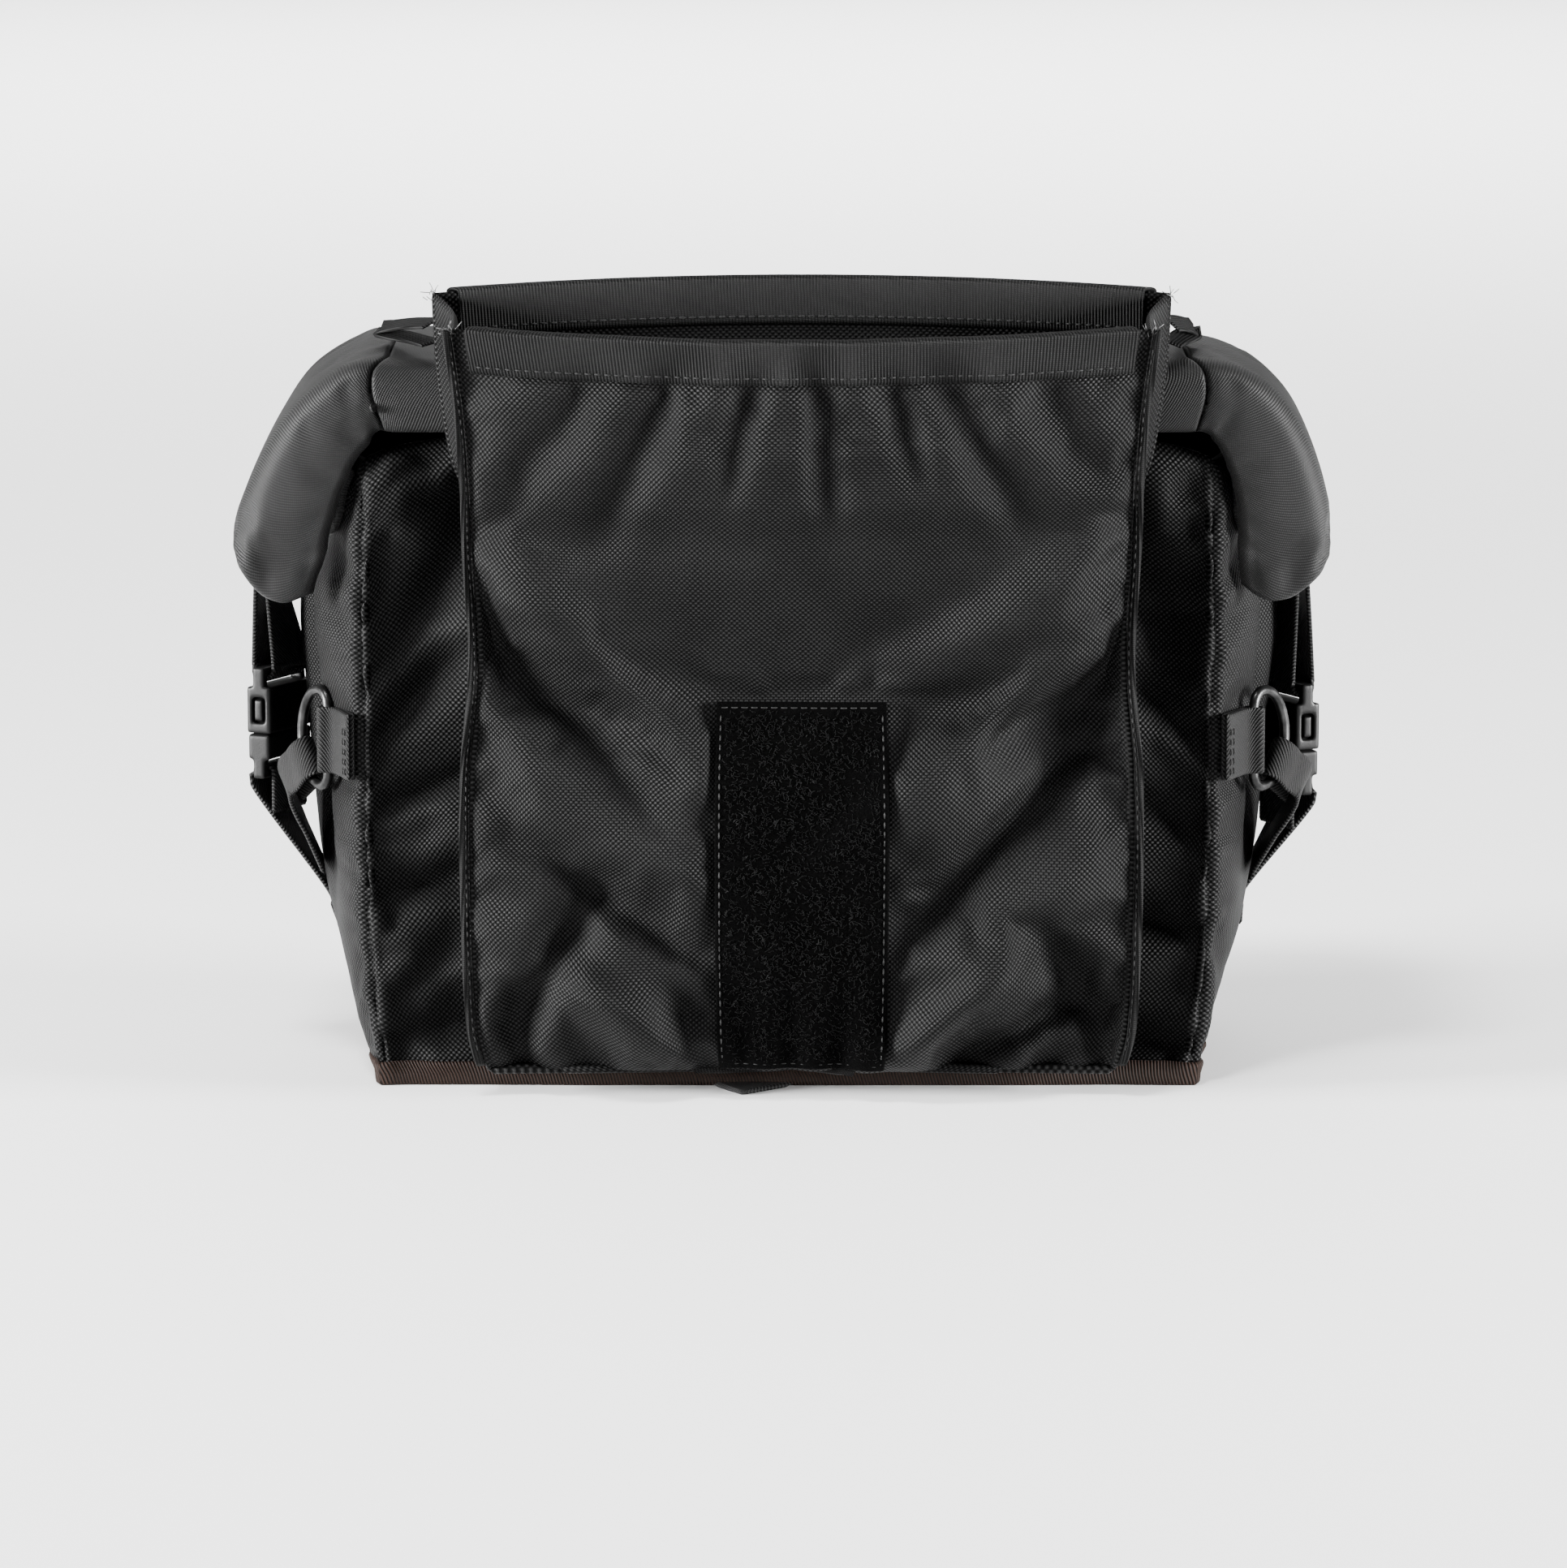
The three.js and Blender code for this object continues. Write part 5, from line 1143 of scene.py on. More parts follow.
def tubes(name, lines, radius, sides, material):
    """Many short round threads as one mesh, from the places of each and a radius for each place."""
    count, steps = lines.shape[:2]
    tangent = np.gradient(lines, axis=1)
    tangent /= np.maximum(np.linalg.norm(tangent, axis=2, keepdims=True), TINY)
    guide = np.where(np.abs(tangent[..., 2:]) > 0.9, np.array([1.0, 0, 0]), np.array([0, 0, 1.0]))
    side = np.cross(tangent, guide)
    side /= np.linalg.norm(side, axis=2, keepdims=True)
    other = np.cross(tangent, side)
    turn = np.linspace(0, 2 * math.pi, sides, endpoint=False)
    wide = np.asarray(radius, float).reshape(1, -1, 1, 1)
    spokes = np.cos(turn)[:, None] * side[:, :, None] + np.sin(turn)[:, None] * other[:, :, None]
    vertices = (lines[:, :, None] + wide * spokes).reshape(-1, 3)
    faces = quads(steps, sides, True)[0]
    ends = np.arange(sides)
    caps = [tuple(ends[::-1]), tuple(ends + (steps - 1) * sides)]
    start = np.arange(count)[:, None, None] * steps * sides
    all_faces = (faces[None] + start).reshape(-1, 4).tolist()
    all_faces += [tuple(k + i * steps * sides for k in cap) for i in range(count) for cap in caps]
    mesh = bpy.data.meshes.new(name)
    mesh.from_pydata((vertices * MM).tolist(), [], all_faces)
    return show(name, mesh, material)


def taped(across, up):
    """Whether a place of the pouch's front is held flat by the rim's tape or the patch."""
    beside = np.abs(across - 0.5) < PATCH_HALF + PIN_MARGIN
    return (up > TAPE_LOW - PIN_MARGIN) | beside & (up < front_share(PATCH_LOW + PATCH_HEIGHT) + PIN_MARGIN)


def settle_walls():
    """The cloth walls' own small folds, from a simulation of each panel between its seams."""
    settle("pouch_front", pouch_wall, POUCH_WIDTH, POUCH_TOP, held=taped, **POUCH_SLACK)
    for number, slack in enumerate(BODY_SLACK):
        width = BODY_DEPTH if number % 2 else BODY_WIDTH
        wall = functools.partial(body_panel, number)
        settle(f"body_{number}", wall, width, BODY_HEIGHT, **slack)


def body_panel(number, across, up):
    return body_wall(number + np.minimum(across, 1 - TINY), up)


def add_patch(ground, fibre):
    """The loop patch: its ground, and a field of small curls that stand on it."""
    surface = patch_surface(PATCH_MESH["step"], PATCH_MESH["edge"], SOFT_GAP + PATCH_THICKNESS / 2)
    stand_for(slab("loop_patch_fine", surface, PATCH_THICKNESS, ground), "loop_tape", "loop_patch")
    random = np.random.default_rng(CURL["seed"])
    count = CURL["count"]
    stray = CURL["stray"]
    half = PATCH_HALF * (1 - 2 * PATCH_BORDER / PATCH_WIDTH)
    across = 0.5 + half * random.uniform(-1, 1, count)
    height = PATCH_LOW + PATCH_BORDER + (PATCH_HEIGHT - 2 * PATCH_BORDER) * random.uniform(0, 1, count)
    root = pouch_wall(across, front_share(height), -(SOFT_GAP + PATCH_THICKNESS))
    turn = random.uniform(0, math.pi, count)
    size = random.uniform(CURL["small"], CURL["large"], count)
    bow = np.linspace(0, math.pi, CURL_PLACES)
    flat = np.cos(bow)[None] * size[:, None]
    x = flat * np.cos(turn)[:, None] + random.uniform(-stray, stray, (count, CURL_PLACES))
    z = flat * np.sin(turn)[:, None] + random.uniform(-stray, stray, (count, CURL_PLACES))
    y = -np.sin(bow)[None] * size[:, None] * CURL["tall"] + CURL["sink"]
    lines = root[:, None] + np.stack([x, y, z], -1)
    piece = tubes("loop_curls", lines, np.full(CURL_PLACES, CURL_RADIUS), 3, fibre)
    stand_for(piece, "loop_tape")


def add_webs(material):
    """Short webs folded in two: the fold lies on the lid and the two ends are sewn to the pouch."""
    rise = LID_HEIGHT + LID_CROWN + GAP + WEB_HEIGHT / 2
    across = (0, 1, WEB["tilt"])
    for name, side, around in (("left", -1, 3.0), ("right", 1, 2.0)):
        start = pouch_wall(around, WEB["start"])
        begin = np.array([start[0] + side * GAP * 2, start[1] + GAP * 3, rise])
        far = LID_FRONT + RIDGE_DEPTH * WEB["back"]
        end = np.array([side * LID_FLAT * WEB["end"], far, rise - WEB_HEIGHT * WEB["sink"]])
        apart = np.array([0, 0, WEB_HEIGHT / 2 - TAPE_THICKNESS / 2])
        near = begin + (end - begin) / 2
        turn = end - np.array([0, 0, WEB_TURN["drop"]])
        upper = [begin + apart, near + apart * WEB["near"], end + apart * WEB["far"]]
        lower = [turn - apart * WEB["far"], near - apart * WEB["under"], begin - apart]
        path = np.array([*upper, turn + (end - begin) * WEB_TURN["reach"], *lower])
        piece = slab(f"web_fine_{name}", ribbon(path, across, WEB_HEIGHT), TAPE_THICKNESS, material)
        stand_for(piece, "rim_tape", f"web_{name}")


def resample(line, step):
    """Evenly spaced places along a line."""
    far = np.concatenate([[0], np.cumsum(np.linalg.norm(np.diff(line[:, :3], axis=0), axis=1))])
    even = np.linspace(0, far[-1], max(3, int(far[-1] / step) + 1))
    return np.stack([np.interp(even, far, column) for column in line.T], -1)


def smooth(path, step):
    """A path through a few places, as evenly spaced points on a smooth curve."""
    path = np.asarray(path, float)
    ends = np.concatenate([[2 * path[0] - path[1]], path, [2 * path[-1] - path[-2]]])
    t = np.linspace(0, 1, STRAP_MESH["curve"], endpoint=False)[:, None]
    made = []
    for i in range(len(path) - 1):
        a, b, c, d = ends[i : i + 4]
        bow = 2 * b + (c - a) * t + (2 * a - 5 * b + 4 * c - d) * t**2 + (3 * b - a - 3 * c + d) * t**3
        made.append(bow / 2)
    return resample(np.concatenate(made + [path[-1:]]), step)


def ribbon(path, across, width):
    """A strap's middle surface along a path, with its width along one direction or one for each place."""
    path = np.asarray(path, float)
    line = smooth(np.concatenate([path, np.broadcast_to(across, path.shape)], axis=1), STRAP_MESH["along"])
    line, across = line[:, :3], line[:, 3:]
    tangent = np.gradient(line, axis=0)
    tangent /= np.linalg.norm(tangent, axis=1, keepdims=True)
    wide = across - tangent * (tangent * across).sum(1)[:, None]
    wide /= np.linalg.norm(wide, axis=1, keepdims=True)
    share = spread(width, STRAP_MESH["across"], WEBBING_THICKNESS / 2) - 0.5
    return line[:, None] + wide[:, None] * (share * width)[None, :, None]


def buckle_turn(side):
    """How a buckle hangs: the ways out of its face and along its width, its front edge turned outwards."""
    turn = math.radians(BUCKLE_TURN)
    face = np.array([side * math.cos(turn), math.sin(turn), 0])
    return face, np.array([-side * math.sin(turn), math.cos(turn), 0])


def hairpin(side, out, height, up):
    """A strap's side view round a buckle's bar: down one face, under it and back up."""
    under = STRAP_CLEARANCE + WEBBING_THICKNESS / 2
    face = EYE_THICKNESS / 2 + under
    half = [(face, EYE_BAR * HAIRPIN_REACH)]
    half += [(face * row["out"], row["up"] * (EYE_BAR if row["up"] > 0 else under)) for row in HAIRPIN]
    view = half + [(0, -under * HAIRPIN_FOOT)] + [(-x, z) for x, z in half[::-1]]
    direction = buckle_turn(side)[0]
    middle = np.array([side * out, BUCKLE_Y, height])
    return [middle + direction * up * x + np.array([0, 0, up * z]) for x, z in view]


def strap(name, path, across, width, material, node):
    piece = slab(name, ribbon(path, across, width), WEBBING_THICKNESS, material)
    stand_for(piece, "webbing", node)


def under_wing(wing, back, layer):
    """A place on a strap that is sewn to the inside of a wing, at a distance back from the wing's end."""
    distance = LID_FLAT + wing["length"] - back
    place, normal = lid_line(wing, distance)
    lining = LID_THICKNESS + lid_dip(wing, distance, BUCKLE_Y + WEBBING / 2)
    depth = lining + GAP * 2 + (layer + 0.5) * (WEBBING_THICKNESS + GAP)
    return place - normal * depth + np.array([0, BUCKLE_Y, 0])


def add_wing_straps(material):
    for name, buckle in BUCKLES.items():
        wing = WINGS[name]
        side = buckle["side"]
        turn = hairpin(side, BODY_WIDTH / 2 + buckle["beyond"], buckle["low"] + BUCKLE_LENGTH - EYE_BAR, 1)
        start = [under_wing(wing, back * WEBBING, 0) for back in SEWN_UNDER]
        end = [under_wing(wing, back * WEBBING, 1) for back in SEWN_OVER]
        across = [STRAIGHT] * len(start) + [buckle_turn(side)[1]] * len(turn) + [STRAIGHT] * len(end)
        strap(f"wing_webbing_{name}", start + turn + end, across, WEBBING, material, f"wing_strap_{name}")


def sewn_low(side, height):
    """A place on an anchor strap that is sewn to the side of the body."""
    reach = np.linspace(-ANCHOR["reach"], ANCHOR["reach"], ANCHOR["places"])
    over = ANCHOR["across"] + reach
    wall = (side * side_wall(side, over, body_share(height))[..., 0]).max()
    return np.array([side * (wall + STRAP_GAP + WEBBING_THICKNESS / 2), BUCKLE_Y, height])


def add_anchor_straps(material):
    for name, buckle in BUCKLES.items():
        side = buckle["side"]
        loop = hairpin(side, BODY_WIDTH / 2 + buckle["beyond"], buckle["low"] + EYE_BAR, -1)
        tail = loop[0] + np.array([0, 0, -EYE_BAR * 3])
        wall = [sewn_low(side, height) for height in np.linspace(ANCHOR["high"], ANCHOR["low"], 3)]
        path = [tail, *loop, *wall]
        across = [buckle_turn(side)[1]] * (len(loop) + 1) + [STRAIGHT] * len(wall)
        strap(f"anchor_webbing_{name}", path, across, WEBBING, material, f"anchor_strap_{name}")


def ring_seat(side):
    """A ring's seat at the front seam, and the ways that it swings, faces out and lies ahead."""
    up = body_share(RING_Z)
    seat = side_wall(side, RING_PLACE, up)
    ahead = unit((seat - side_wall(side, 0, up)) * np.array([1, 1, 0]))
    out = np.array([ahead[1] * side, -ahead[0] * side, 0])
    seat = seat + out * (WEBBING_THICKNESS + STRAP_GAP + RING_WIRE / 2)
    seat[2] = RING_Z
    return seat, unit(ahead + out * RING_SWING), out, ahead


def wire_loop(name, path, radius, sides, material):
    """A closed loop of round wire through a ring of places."""
    tangent = np.roll(path, -1, 0) - np.roll(path, 1, 0)
    tangent /= np.linalg.norm(tangent, axis=1, keepdims=True)
    middle = path.mean(0)
    flat = unit(np.cross(path[0] - middle, path[len(path) // 4] - middle))
    other = np.cross(tangent, flat)
    turn = np.linspace(0, 2 * math.pi, sides, endpoint=False)[None, :, None]
    rings = path[:, None] + radius * (np.cos(turn) * flat[None, None] + np.sin(turn) * other[:, None])
    rows, columns = rings.shape[:2]
    i, j = np.meshgrid(np.arange(rows), np.arange(columns), indexing="ij")
    a = i * columns + j
    b = i * columns + (j + 1) % columns
    c = (i + 1) % rows * columns + (j + 1) % columns
    d = (i + 1) % rows * columns + j
    faces = np.stack([a, b, c, d], -1).reshape(-1, 4)
    uv = np.stack([i * 1.0, j * 1.0], -1).reshape(-1, 2)
    return make_mesh(name, rings.reshape(-1, 3), faces, faces, uv, material)


def ring_path():
    """The middle line of a D-ring's wire: its bar, two bends and its bow."""
    half = (RING_HEIGHT - RING_WIRE) / 2
    reach = RING_REACH - RING_WIRE - RING_BEND
    straight = np.linspace(-half + RING_BEND, half - RING_BEND, RING_MESH["bar"])
    bar = [(0, z) for z in straight]
    corner = np.linspace(0, math.pi / 2, RING_MESH["corner"])[1:]
    top = [(RING_BEND * (1 - math.cos(a)), half - RING_BEND * (1 - math.sin(a))) for a in corner]
    turn = np.linspace(0, math.pi, RING_MESH["bow"])[1:]
    bow = [(RING_BEND + reach * math.sin(a), half * math.cos(a)) for a in turn]
    low = [(x, -z) for x, z in top[::-1][1:]]
    return np.array(bar + top + bow + low)


def tab_length(seat, side, ahead):
    """How far a ring's tab reaches from the ring back to the front seam."""
    return (seat - side_wall(side, 0, body_share(RING_Z))) @ ahead - GAP


def add_rings(metal, webbing):
    for name, side in (("left", -1), ("right", 1)):
        seat, swing, out, ahead = ring_seat(side)
        flat = ring_path()
        path = seat + flat[:, :1] * swing + flat[:, 1:] * np.array([0, 0, 1.0])
        piece = wire_loop(f"ring_{name}", path, RING_WIRE / 2, RING_MESH["round"], metal)
        stand_for(piece, "ring", f"d_ring_{name}")
        eye = RING_WIRE / 2 + GAP + WEBBING_THICKNESS / 2
        length = tab_length(seat, side, ahead)
        low = [(-length, -eye), (-length * RING_TAB["middle"], -eye), (-eye, -eye)]
        turn = np.linspace(-math.pi / 2, math.pi / 2, RING_MESH["turn"])
        over = [(eye * math.cos(a), eye * math.sin(a)) for a in turn]
        near = (-eye * RING_TAB["behind"], WEBBING_THICKNESS * RING_TAB["closing"] - eye)
        high = [near, (-length, WEBBING_THICKNESS - eye)]
        path = [seat + ahead * x + out * y for x, y in low + over + high]
        strap(f"ring_tab_webbing_{name}", path, (0, 0, 1), WEBBING, webbing, f"ring_tab_{name}")


def add_ring_straps(material):
    """Webbing from each ring's bow down to the side, square to the wire where it passes round it."""
    angle = -math.radians(RING_STRAP["turn"])
    bow = (RING_HEIGHT - RING_WIRE) / 2
    reach = RING_REACH - RING_WIRE - RING_BEND
    clear = RING_WIRE / 2 + RING_CLEARANCE + WEBBING_THICKNESS / 2
    rise = math.sqrt(bow**2 - (RING_STRAP["width"] / 2) ** 2) - bow
    upright = np.array([0, 0, 1.0])
    for name, side in (("left", -1), ("right", 1)):
        seat, swing, _, _ = ring_seat(side)
        radial = swing * math.cos(angle) + upright * math.sin(angle)
        flat = upright * math.cos(angle) - swing * math.sin(angle)
        normal = np.cross(radial, flat)
        normal *= np.sign(normal[0] * side)
        centre = seat + swing * (RING_BEND + reach * math.cos(angle)) + upright * bow * math.sin(angle)
        wall = side_wall(side, RING_STRAP["across"], body_share(RING_STRAP["height"]))
        end = wall + np.array([side * (GAP * 3 + WEBBING_THICKNESS), 0, 0])
        path = [
            centre + radial * (rise * row["rise"] + clear * row["along"]) + normal * clear * row["across"]
            for row in RING_VIEW
        ]
        path += [path[-1] + (end - path[-1]) * 0.5, end]
        strap(f"ring_webbing_{name}", path, flat, RING_STRAP["width"], material, f"ring_strap_{name}")


def add_bar_straps(material):
    inner = BAR_DIAMETER / 2 + GAP * 2
    thick = WEBBING_THICKNESS * BAR_LAYERS
    outer = inner + thick
    middle = (inner + outer) / 2
    place = BACK_Y + GAP * 2
    share = spread(BAR_STRAP_WIDTH, STRAP_MESH["across"], WEBBING_THICKNESS / 2) - 0.5
    wide = points(share * BAR_STRAP_WIDTH, 0, 0)
    for name, side in (("left", -1), ("right", 1)):
        x = side * BAR_STRAP_SPACING / 2
        turn = np.linspace(math.pi * BAR_LOOP_END, -math.pi * BAR_LOOP_END, LOOP_MESH["round"])
        loop = [(x, place + outer + middle * math.cos(a), BAR_Z + middle * math.sin(a)) for a in turn]
        heights = np.linspace(-outer, outer, LOOP_MESH["pad"]) * BAR_PAD_REACH
        pad = [(x, place + WEBBING_THICKNESS / 2, BAR_Z + z) for z in heights]
        piece = slab(f"bar_pad_{name}", np.array(pad)[:, None] + wide[None], WEBBING_THICKNESS, material)
        stand_for(piece, "webbing")
        piece = slab(f"bar_loop_{name}", np.array(loop)[:, None] + wide[None], thick, material)
        stand_for(piece, "webbing", f"bar_strap_{name}")


def add_base_tab(material):
    start = FRONT_Y - BINDING_THICKNESS - GAP
    left = -TAB_SHIFT - TAB_WIDTH / 2
    long = np.linspace(TAB_MESH["tip"], 1, TAB_MESH["long"])
    rows, columns = grid(long, np.linspace(0, 1, TAB_MESH["wide"]))
    tip = np.array([left + TAB_WIDTH * TAB_POINT, start - TAB_LENGTH, WEBBING_THICKNESS / 2])
    edge = points(left + TAB_WIDTH * columns, start, WEBBING_THICKNESS / 2)
    surface = tip + (edge - tip) * rows[..., None]
    stand_for(slab("base_tab_fine", surface, WEBBING_THICKNESS, material), "webbing", "base_tab")


def add_buckles(material):
    """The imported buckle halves, turned as they hang, with their edges rounded as a moulding's are."""
    for name, buckle in BUCKLES.items():
        side = buckle["side"]
        axis = Vector((side * (BODY_WIDTH / 2 + buckle["beyond"]), BUCKLE_Y, 0)) * MM
        turn = Matrix.Rotation(side * math.radians(BUCKLE_TURN), 4, "Z")
        for half in ("female", "male"):
            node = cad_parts[f"buckle_{half}_{name}"]
            mesh = node.data.copy()
            mesh.transform(Matrix.Translation(axis) @ turn @ Matrix.Translation(-axis) @ node.matrix_world)
            mesh.materials.clear()
            mesh.materials.append(material)
            piece = bpy.data.objects.new(f"buckle_moulded_{half}_{name}", mesh)
            bpy.context.collection.objects.link(piece)
            remesh = piece.modifiers.new("remesh", "REMESH")
            remesh.mode = "VOXEL"
            remesh.voxel_size = MOULD["voxel"] * MM
            remesh.use_smooth_shade = True
            rounding = piece.modifiers.new("rounding", "SMOOTH")
            rounding.factor = MOULD["factor"]
            rounding.iterations = MOULD["iterations"]
            stand_for(piece, "buckle", f"buckle_{half}_{name}")


def stitches(name, line, out, material):
    """A run of thread along a line, each stitch standing a little proud of the cloth."""
    line = resample(np.asarray(line, float), STITCH["pitch"] / 4)
    ends = line[::4]
    start = ends[:-1]
    step = ends[1:] - start
    out = np.broadcast_to(unit(np.asarray(out, float)), start.shape)
    place = np.linspace(0, 1, len(SLIM))
    along = start[:, None] + step[:, None] * (place * STITCH["shown"])[None, :, None]
    proud = STITCH["radius"] * (STITCH["proud"] * np.sin(math.pi * place) - STITCH["sunk"])
    lines = along + out[:, None] * proud[None, :, None]
    stand_for(tubes(name, lines, STITCH["radius"] * SLIM, STITCH["sides"], material), "webbing")


def add_frayed_ends(material):
    """Loose thread ends where the pouch's rims and seams are cut off."""
    random = np.random.default_rng(FRAYS["seed"])
    for name, side, front, back in (("left", -1, 0.0, 3.0), ("right", 1, 1.0, 2.0)):
        lean = np.array([side * FRAY_LEAN["out"], -FRAY_LEAN["ahead"], FRAY_LEAN["up"]])
        runs = []
        for around in (front, back):
            root = pouch_wall(around, 1.0) - np.array([0, 0, FRAYS["drop"]])
            for _ in range(FRAYS["count"]):
                start = root + random.uniform(-1, 1, 3) * FRAY_SPREAD
                way = random.normal(0, 1, 3) * FRAY_WAY + lean
                bend = random.normal(0, 0.5, 3)
                long = FRAYS["long"] * random.uniform(FRAYS["shortest"], 1)
                far = np.linspace(0, 1, FRAYS["places"])[:, None] * long
                runs.append(start + unit(way) * far + bend * (far / FRAYS["long"]) ** 2)
        radius = np.full(FRAYS["places"], FRAYS["radius"])
        piece = tubes(f"frayed_ends_{name}", np.array(runs), radius, 4, material)
        stand_for(piece, "rim_tape")


def stitch_rims(material):
    low = TAPE_LOW + STITCH_INSET["rim"] / (POUCH_TOP - POUCH_BOTTOM)
    far = SOFT_GAP + TAPE_THICKNESS
    end = TAPE_END * STITCH_INSET["tape_end"]
    across = np.linspace(end, 1 - end, STITCH_MESH["rim"])
    stitches("stitch_rim_front", pouch_wall(across, low, -far), (0, -1, 0), material)
    stitches("stitch_rim_front_inside", pouch_wall(across, low, POUCH_WALL + far), (0, 1, 0), material)
    stitches("stitch_rim_back", pouch_wall(2 + across, low, POUCH_WALL + far), (0, -1, 0), material)


def stitch_seam(name, side, around, material):
    up = np.linspace(STITCHED_SEAM["low"], STITCHED_SEAM["high"], STITCH_MESH["seam"])
    front = np.array([-side * SEAM_LEAN["ahead"], -SEAM_LEAN["out"], 0.0])
    line = pouch_wall(np.full_like(up, around), up) + front * SEAM_THICKNESS / 2
    line = line + seam_out(side) * (GAP + SEAM_HEIGHT * STITCH_INSET["seam"])
    line[:, 1] += seam_wave(line[:, 2], side) * STITCH_INSET["seam"]
    stitches(f"stitch_seam_{name}", line, front, material)


def stitch_tab(name, side, material):
    seat, _, out, ahead = ring_seat(side)
    length = tab_length(seat, side, ahead)
    eye = RING_WIRE / 2 + GAP + WEBBING_THICKNESS / 2
    edge = WEBBING / 2 - STITCH_INSET["tab"]
    high = np.linspace(-edge, edge, STITCH_MESH["tab"])
    for run, back in TAB_RUNS.items():
        place = seat - ahead * (length - back) + out * (WEBBING_THICKNESS * RING_TAB["stitched"] - eye)
        line = place + high[:, None] * np.array([0, 0, 1.0])
        stitches(f"stitch_ring_tab_{run}_{name}", line, out, material)


def stitch_patch(material):
    inset = STITCH_INSET["patch"]
    half = PATCH_HALF * (1 - 2 * inset / PATCH_WIDTH)
    low = front_share(PATCH_LOW + inset)
    high = front_share(PATCH_LOW + PATCH_HEIGHT - inset)
    side = np.linspace(low, high, STITCH_MESH["patch_side"])
    level = np.linspace(0.5 - half, 0.5 + half, STITCH_MESH["patch_level"])
    sides = {
        "left": (0.5 - half, side),
        "right": (0.5 + half, side),
        "top": (level, high),
        "bottom": (level, low),
    }
    for name, (across, up) in sides.items():
        line = pouch_wall(across, up, -(SOFT_GAP + PATCH_THICKNESS))
        stitches(f"stitch_patch_{name}", line, (0, -1, 0), material)


def add_stitches(material):
    stitch_rims(material)
    for name, side, around in SEAM_CORNERS:
        stitch_seam(name, side, around, material)
        stitch_tab(name, side, material)
    stitch_patch(material)


class Finish:
    """Builds one material by the tables: patterns from a mesh's own places, then colours and a bump."""

    def __init__(self, name):
        self.name = name
        self.row = FINISHES[name]
        self.material = bpy.data.materials.new(name)
        self.material.use_nodes = True
        self.tree = self.material.node_tree
        self.shader = self.tree.nodes["Principled BSDF"]
        for socket, column in SHADER_INPUTS.items():
            self.shader.inputs[socket].default_value = self.row[column]
        self.shader.inputs["Sheen Roughness"].default_value = SHEEN_ROUGHNESS
        self.places = self.tree.nodes.new("ShaderNodeTexCoord")
        self.split = self.tree.nodes.new("ShaderNodeSeparateXYZ")
        self.tree.links.new(self.places.outputs["UV"], self.split.inputs[0])

    def put(self, socket, value):
        if isinstance(value, bpy.types.NodeSocket):
            self.tree.links.new(value, socket)
        else:
            socket.default_value = value

    def math(self, operation, a, b=0.0):
        node = self.tree.nodes.new("ShaderNodeMath")
        node.operation = operation
        self.put(node.inputs[0], a)
        self.put(node.inputs[1], b)
        return node.outputs[0]

    def along(self, pattern, start, change):
        """A value that starts at one number and changes by another as a pattern goes from 0 to 1."""
        return self.math("ADD", self.math("MULTIPLY", pattern, change), start)

    def blend(self, a, b, share):
        """Two values mixed: a share of the second with the rest of the first."""
        return self.math("ADD", self.math("MULTIPLY", a, 1 - share), self.math("MULTIPLY", b, share))

    def stripes(self, across, up, period):
        """Waves from 0 to 1 along a direction in the cloth, with a period in millimetres."""
        u = self.math("MULTIPLY", self.split.outputs["X"], across)
        v = self.math("MULTIPLY", self.split.outputs["Y"], up)
        phase = self.math("MULTIPLY", self.math("ADD", u, v), 2 * math.pi / period)
        return self.along(self.math("SINE", phase), 0.5, 0.5)

    def noise(self, scale=None, detail=None, source=None):
        """Soft noise from 0 to 1, the material's own unless another is given."""
        node = self.tree.nodes.new("ShaderNodeTexNoise")
        places = self.places.outputs[source or self.row["source"]]
        self.tree.links.new(places, node.inputs["Vector"])
        node.inputs["Scale"].default_value = scale or self.row["scale"]
        node.inputs["Detail"].default_value = detail or self.row["detail"]
        return node.outputs[0]

    def ramp(self, factor, stops):
        node = self.tree.nodes.new("ShaderNodeValToRGB")
        self.put(node.inputs[0], factor)
        elements = node.color_ramp.elements
        while len(elements) < len(stops):
            elements.new(0.5)
        for element, (place, colour) in zip(elements, stops):
            element.position = place
            element.color = (*colour, 1)
        return node.outputs[0]

    def dress(self, tone, height, rubbed=None):
        """Sets the colours by one pattern, the bump by another and any change of roughness by a third."""
        bump = self.tree.nodes.new("ShaderNodeBump")
        bump.inputs["Distance"].default_value = self.row["bump"] * MM
        self.put(bump.inputs["Height"], height)
        self.put(self.shader.inputs["Normal"], bump.outputs[0])
        self.put(self.shader.inputs["Base Color"], self.ramp(tone, TONES[self.name]))
        if rubbed is not None:
            self.put(self.shader.inputs["Roughness"], self.along(rubbed, *RUBBED[self.name]))
        return self.material


def body_cloth():
    """Black nylon whose ribs cross along both diagonals, so that each side's light picks out one of them. Its
    colour also follows the ribs: painted shade between the threads, and small painted highlights on the yarn.
    """
    finish = Finish("body_cloth")
    weave = finish.blend(finish.stripes(-1, 1, RIB), finish.stripes(1, 1, RIB), 0.5)
    painted_yarn_highlight = finish.math("MULTIPLY", finish.noise(*PAINTED_YARN_HIGHLIGHT), PAINTED_YARN_HIGHLIGHT_SHARE)
    tone = finish.math("ADD", finish.blend(weave, finish.noise(), finish.row["share"]), painted_yarn_highlight)
    return finish.dress(tone, weave, weave)


def ribbed(name):
    """Cloth, tape or webbing: ribs with a finer thread across them, a little worn in patches, with painted
    shade between the threads and painted light on the ribs.
    """
    finish = Finish(name)
    row = WEAVES[name]
    thread = finish.blend(finish.stripes(*row["thread"]), 1.0, row["level"])
    weave = finish.math("MULTIPLY", finish.stripes(*row["rib"]), thread)
    return finish.dress(finish.blend(weave, finish.noise(), finish.row["share"]), weave)


def grained(name):
    """Pile, threads and paint: one soft noise gives the colours and the bump."""
    finish = Finish(name)
    grain = finish.noise()
    return finish.dress(grain, grain)


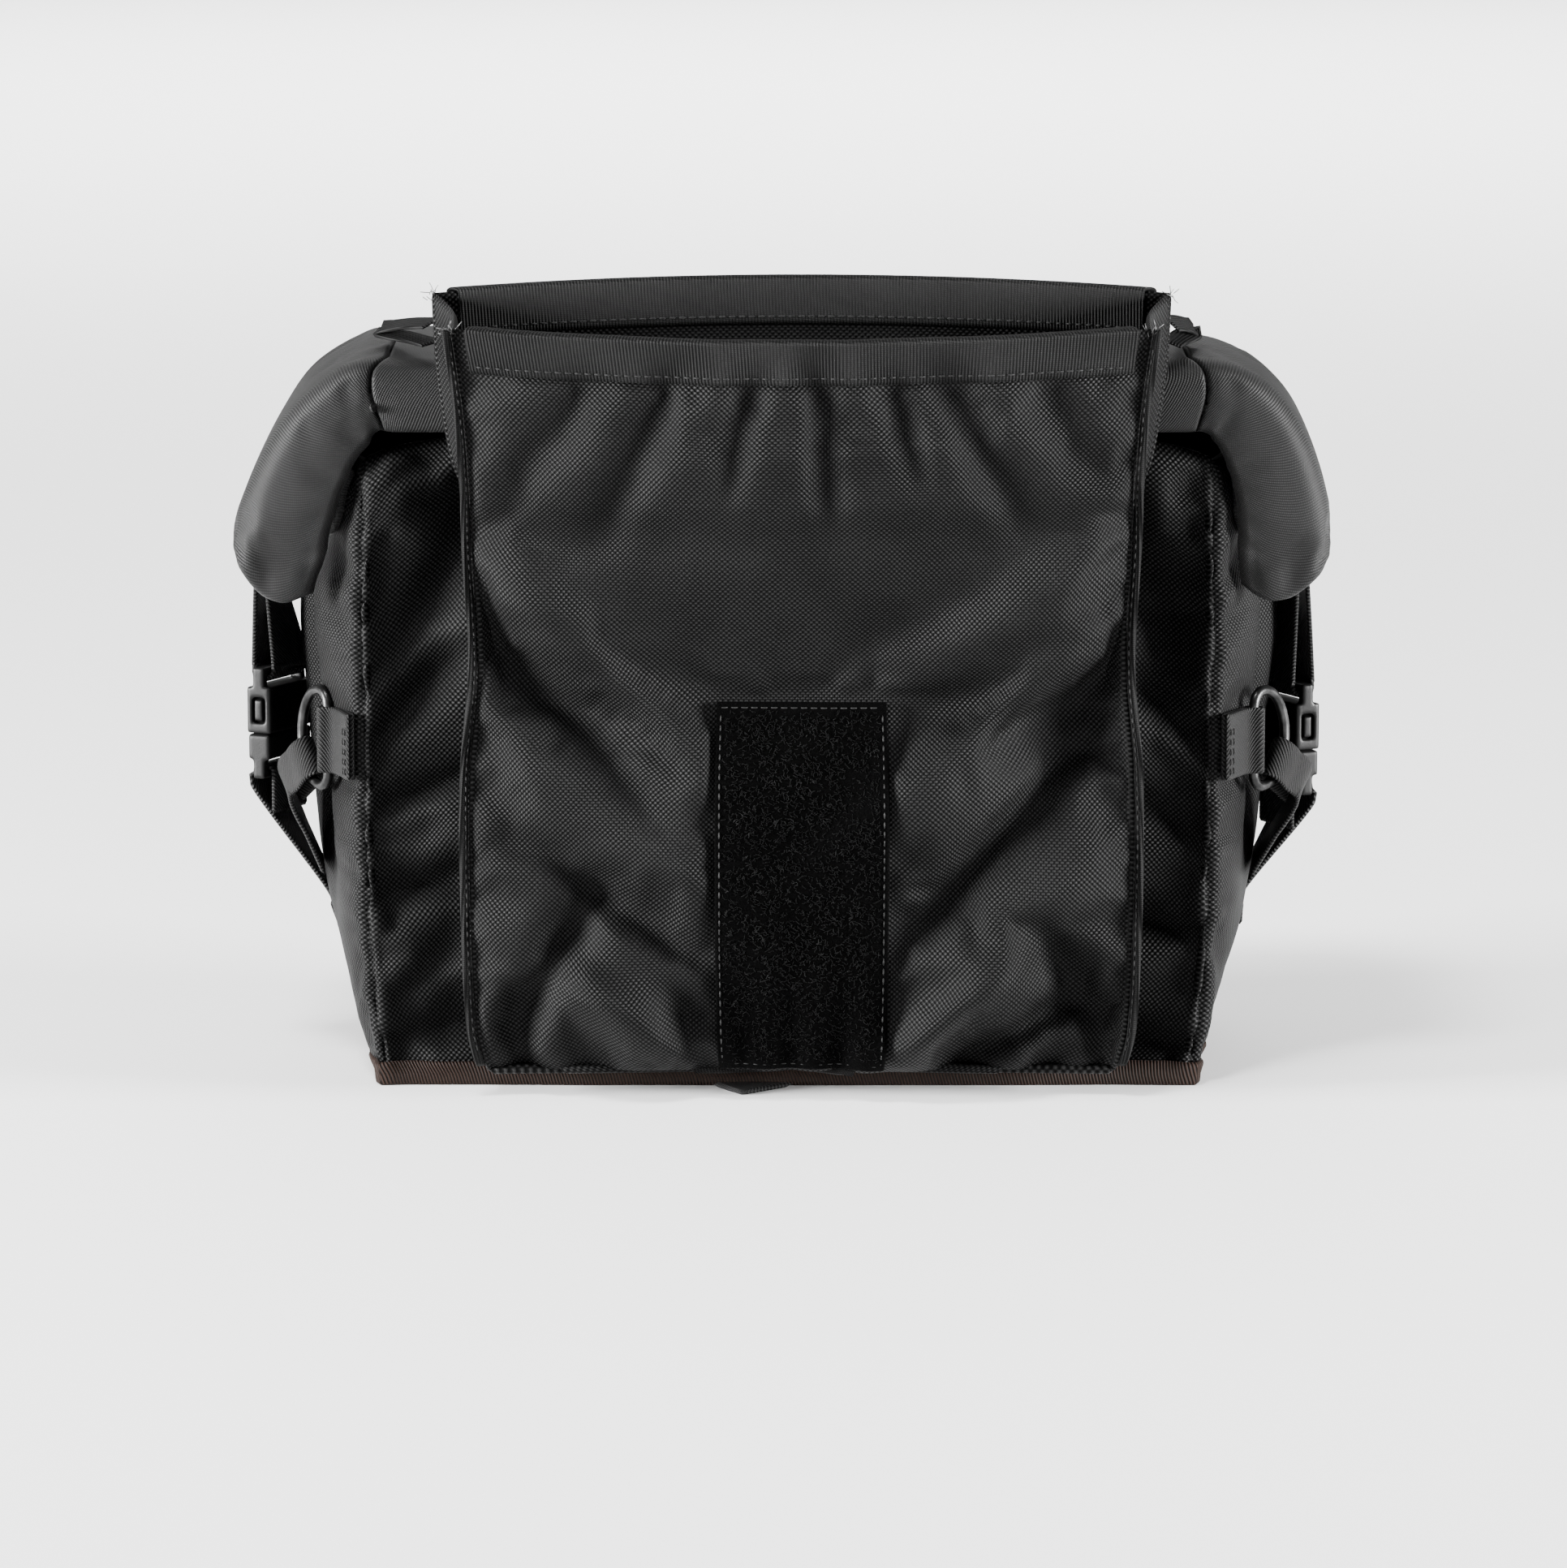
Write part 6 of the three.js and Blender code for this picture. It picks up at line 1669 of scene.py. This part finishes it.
def moulded_plastic():
    """Black acetal with a fine moulded grain, rubbed a little smoother in places."""
    finish = Finish("moulded_plastic")
    rubbed = finish.noise()
    return finish.dress(rubbed, finish.noise(*MOULD_GRAIN), rubbed)


def ring_metal():
    """Dark plated wire with a satin surface and small lighter rubs."""
    finish = Finish("ring_metal")
    rubbed = finish.noise()
    return finish.dress(rubbed, rubbed, rubbed)


def add_floor():
    size = FLOOR_HALF
    mesh = bpy.data.meshes.new("floor")
    corners = [(-size, -size, 0), (size, -size, 0), (size, size, 0), (-size, size, 0)]
    mesh.from_pydata(corners, [], [(0, 1, 2, 3)])
    mesh.materials.append(grained("floor_paint"))
    floor = bpy.data.objects.new("floor", mesh)
    bpy.context.collection.objects.link(floor)


def add_lights():
    for row in LIGHTS:
        light = bpy.data.lights.new(row["name"], "AREA")
        light.size = row["size"]
        light.energy = row["power"]
        light.spread = math.radians(row["spread"])
        holder = bpy.data.objects.new(row["name"], light)
        holder.location = row["place"]
        aim = Vector((0, row["aim"], BODY_HEIGHT / 2 * MM)) - holder.location
        holder.rotation_euler = aim.to_track_quat("-Z", "Y").to_euler()
        bpy.context.collection.objects.link(holder)
    world = bpy.data.worlds.new("world")
    world.use_nodes = True
    background = world.node_tree.nodes["Background"]
    background.inputs["Color"].default_value = (1, 1, 1, 1)
    background.inputs["Strength"].default_value = WORLD_STRENGTH
    bpy.context.scene.world = world


add_camera()
add_floor()
add_lights()
CLOTH = body_cloth()
LID_CLOTH = ribbed("lid_cloth")
TAPE = ribbed("rim_ribbon")
BINDING = ribbed("base_ribbon")
LOOP = grained("loop_pile")
FIBRE = grained("loop_fibre")
STRAP = ribbed("strap_webbing")
THREAD = grained("sewing_thread")
PALE_THREAD = grained("loose_thread")
PLASTIC = moulded_plastic()
METAL = ring_metal()
settle_walls()
add_body(CLOTH)
add_base(CLOTH, BINDING)
add_lid(LID_CLOTH)
add_side_flaps(LID_CLOTH)
add_pouch(CLOTH)
add_rims(TAPE)
add_pouch_seams(TAPE)
add_patch(LOOP, FIBRE)
add_webs(TAPE)
add_wing_straps(STRAP)
add_anchor_straps(STRAP)
add_rings(METAL, STRAP)
add_ring_straps(STRAP)
add_bar_straps(STRAP)
add_base_tab(STRAP)
add_buckles(PLASTIC)
add_stitches(THREAD)
add_frayed_ends(PALE_THREAD)
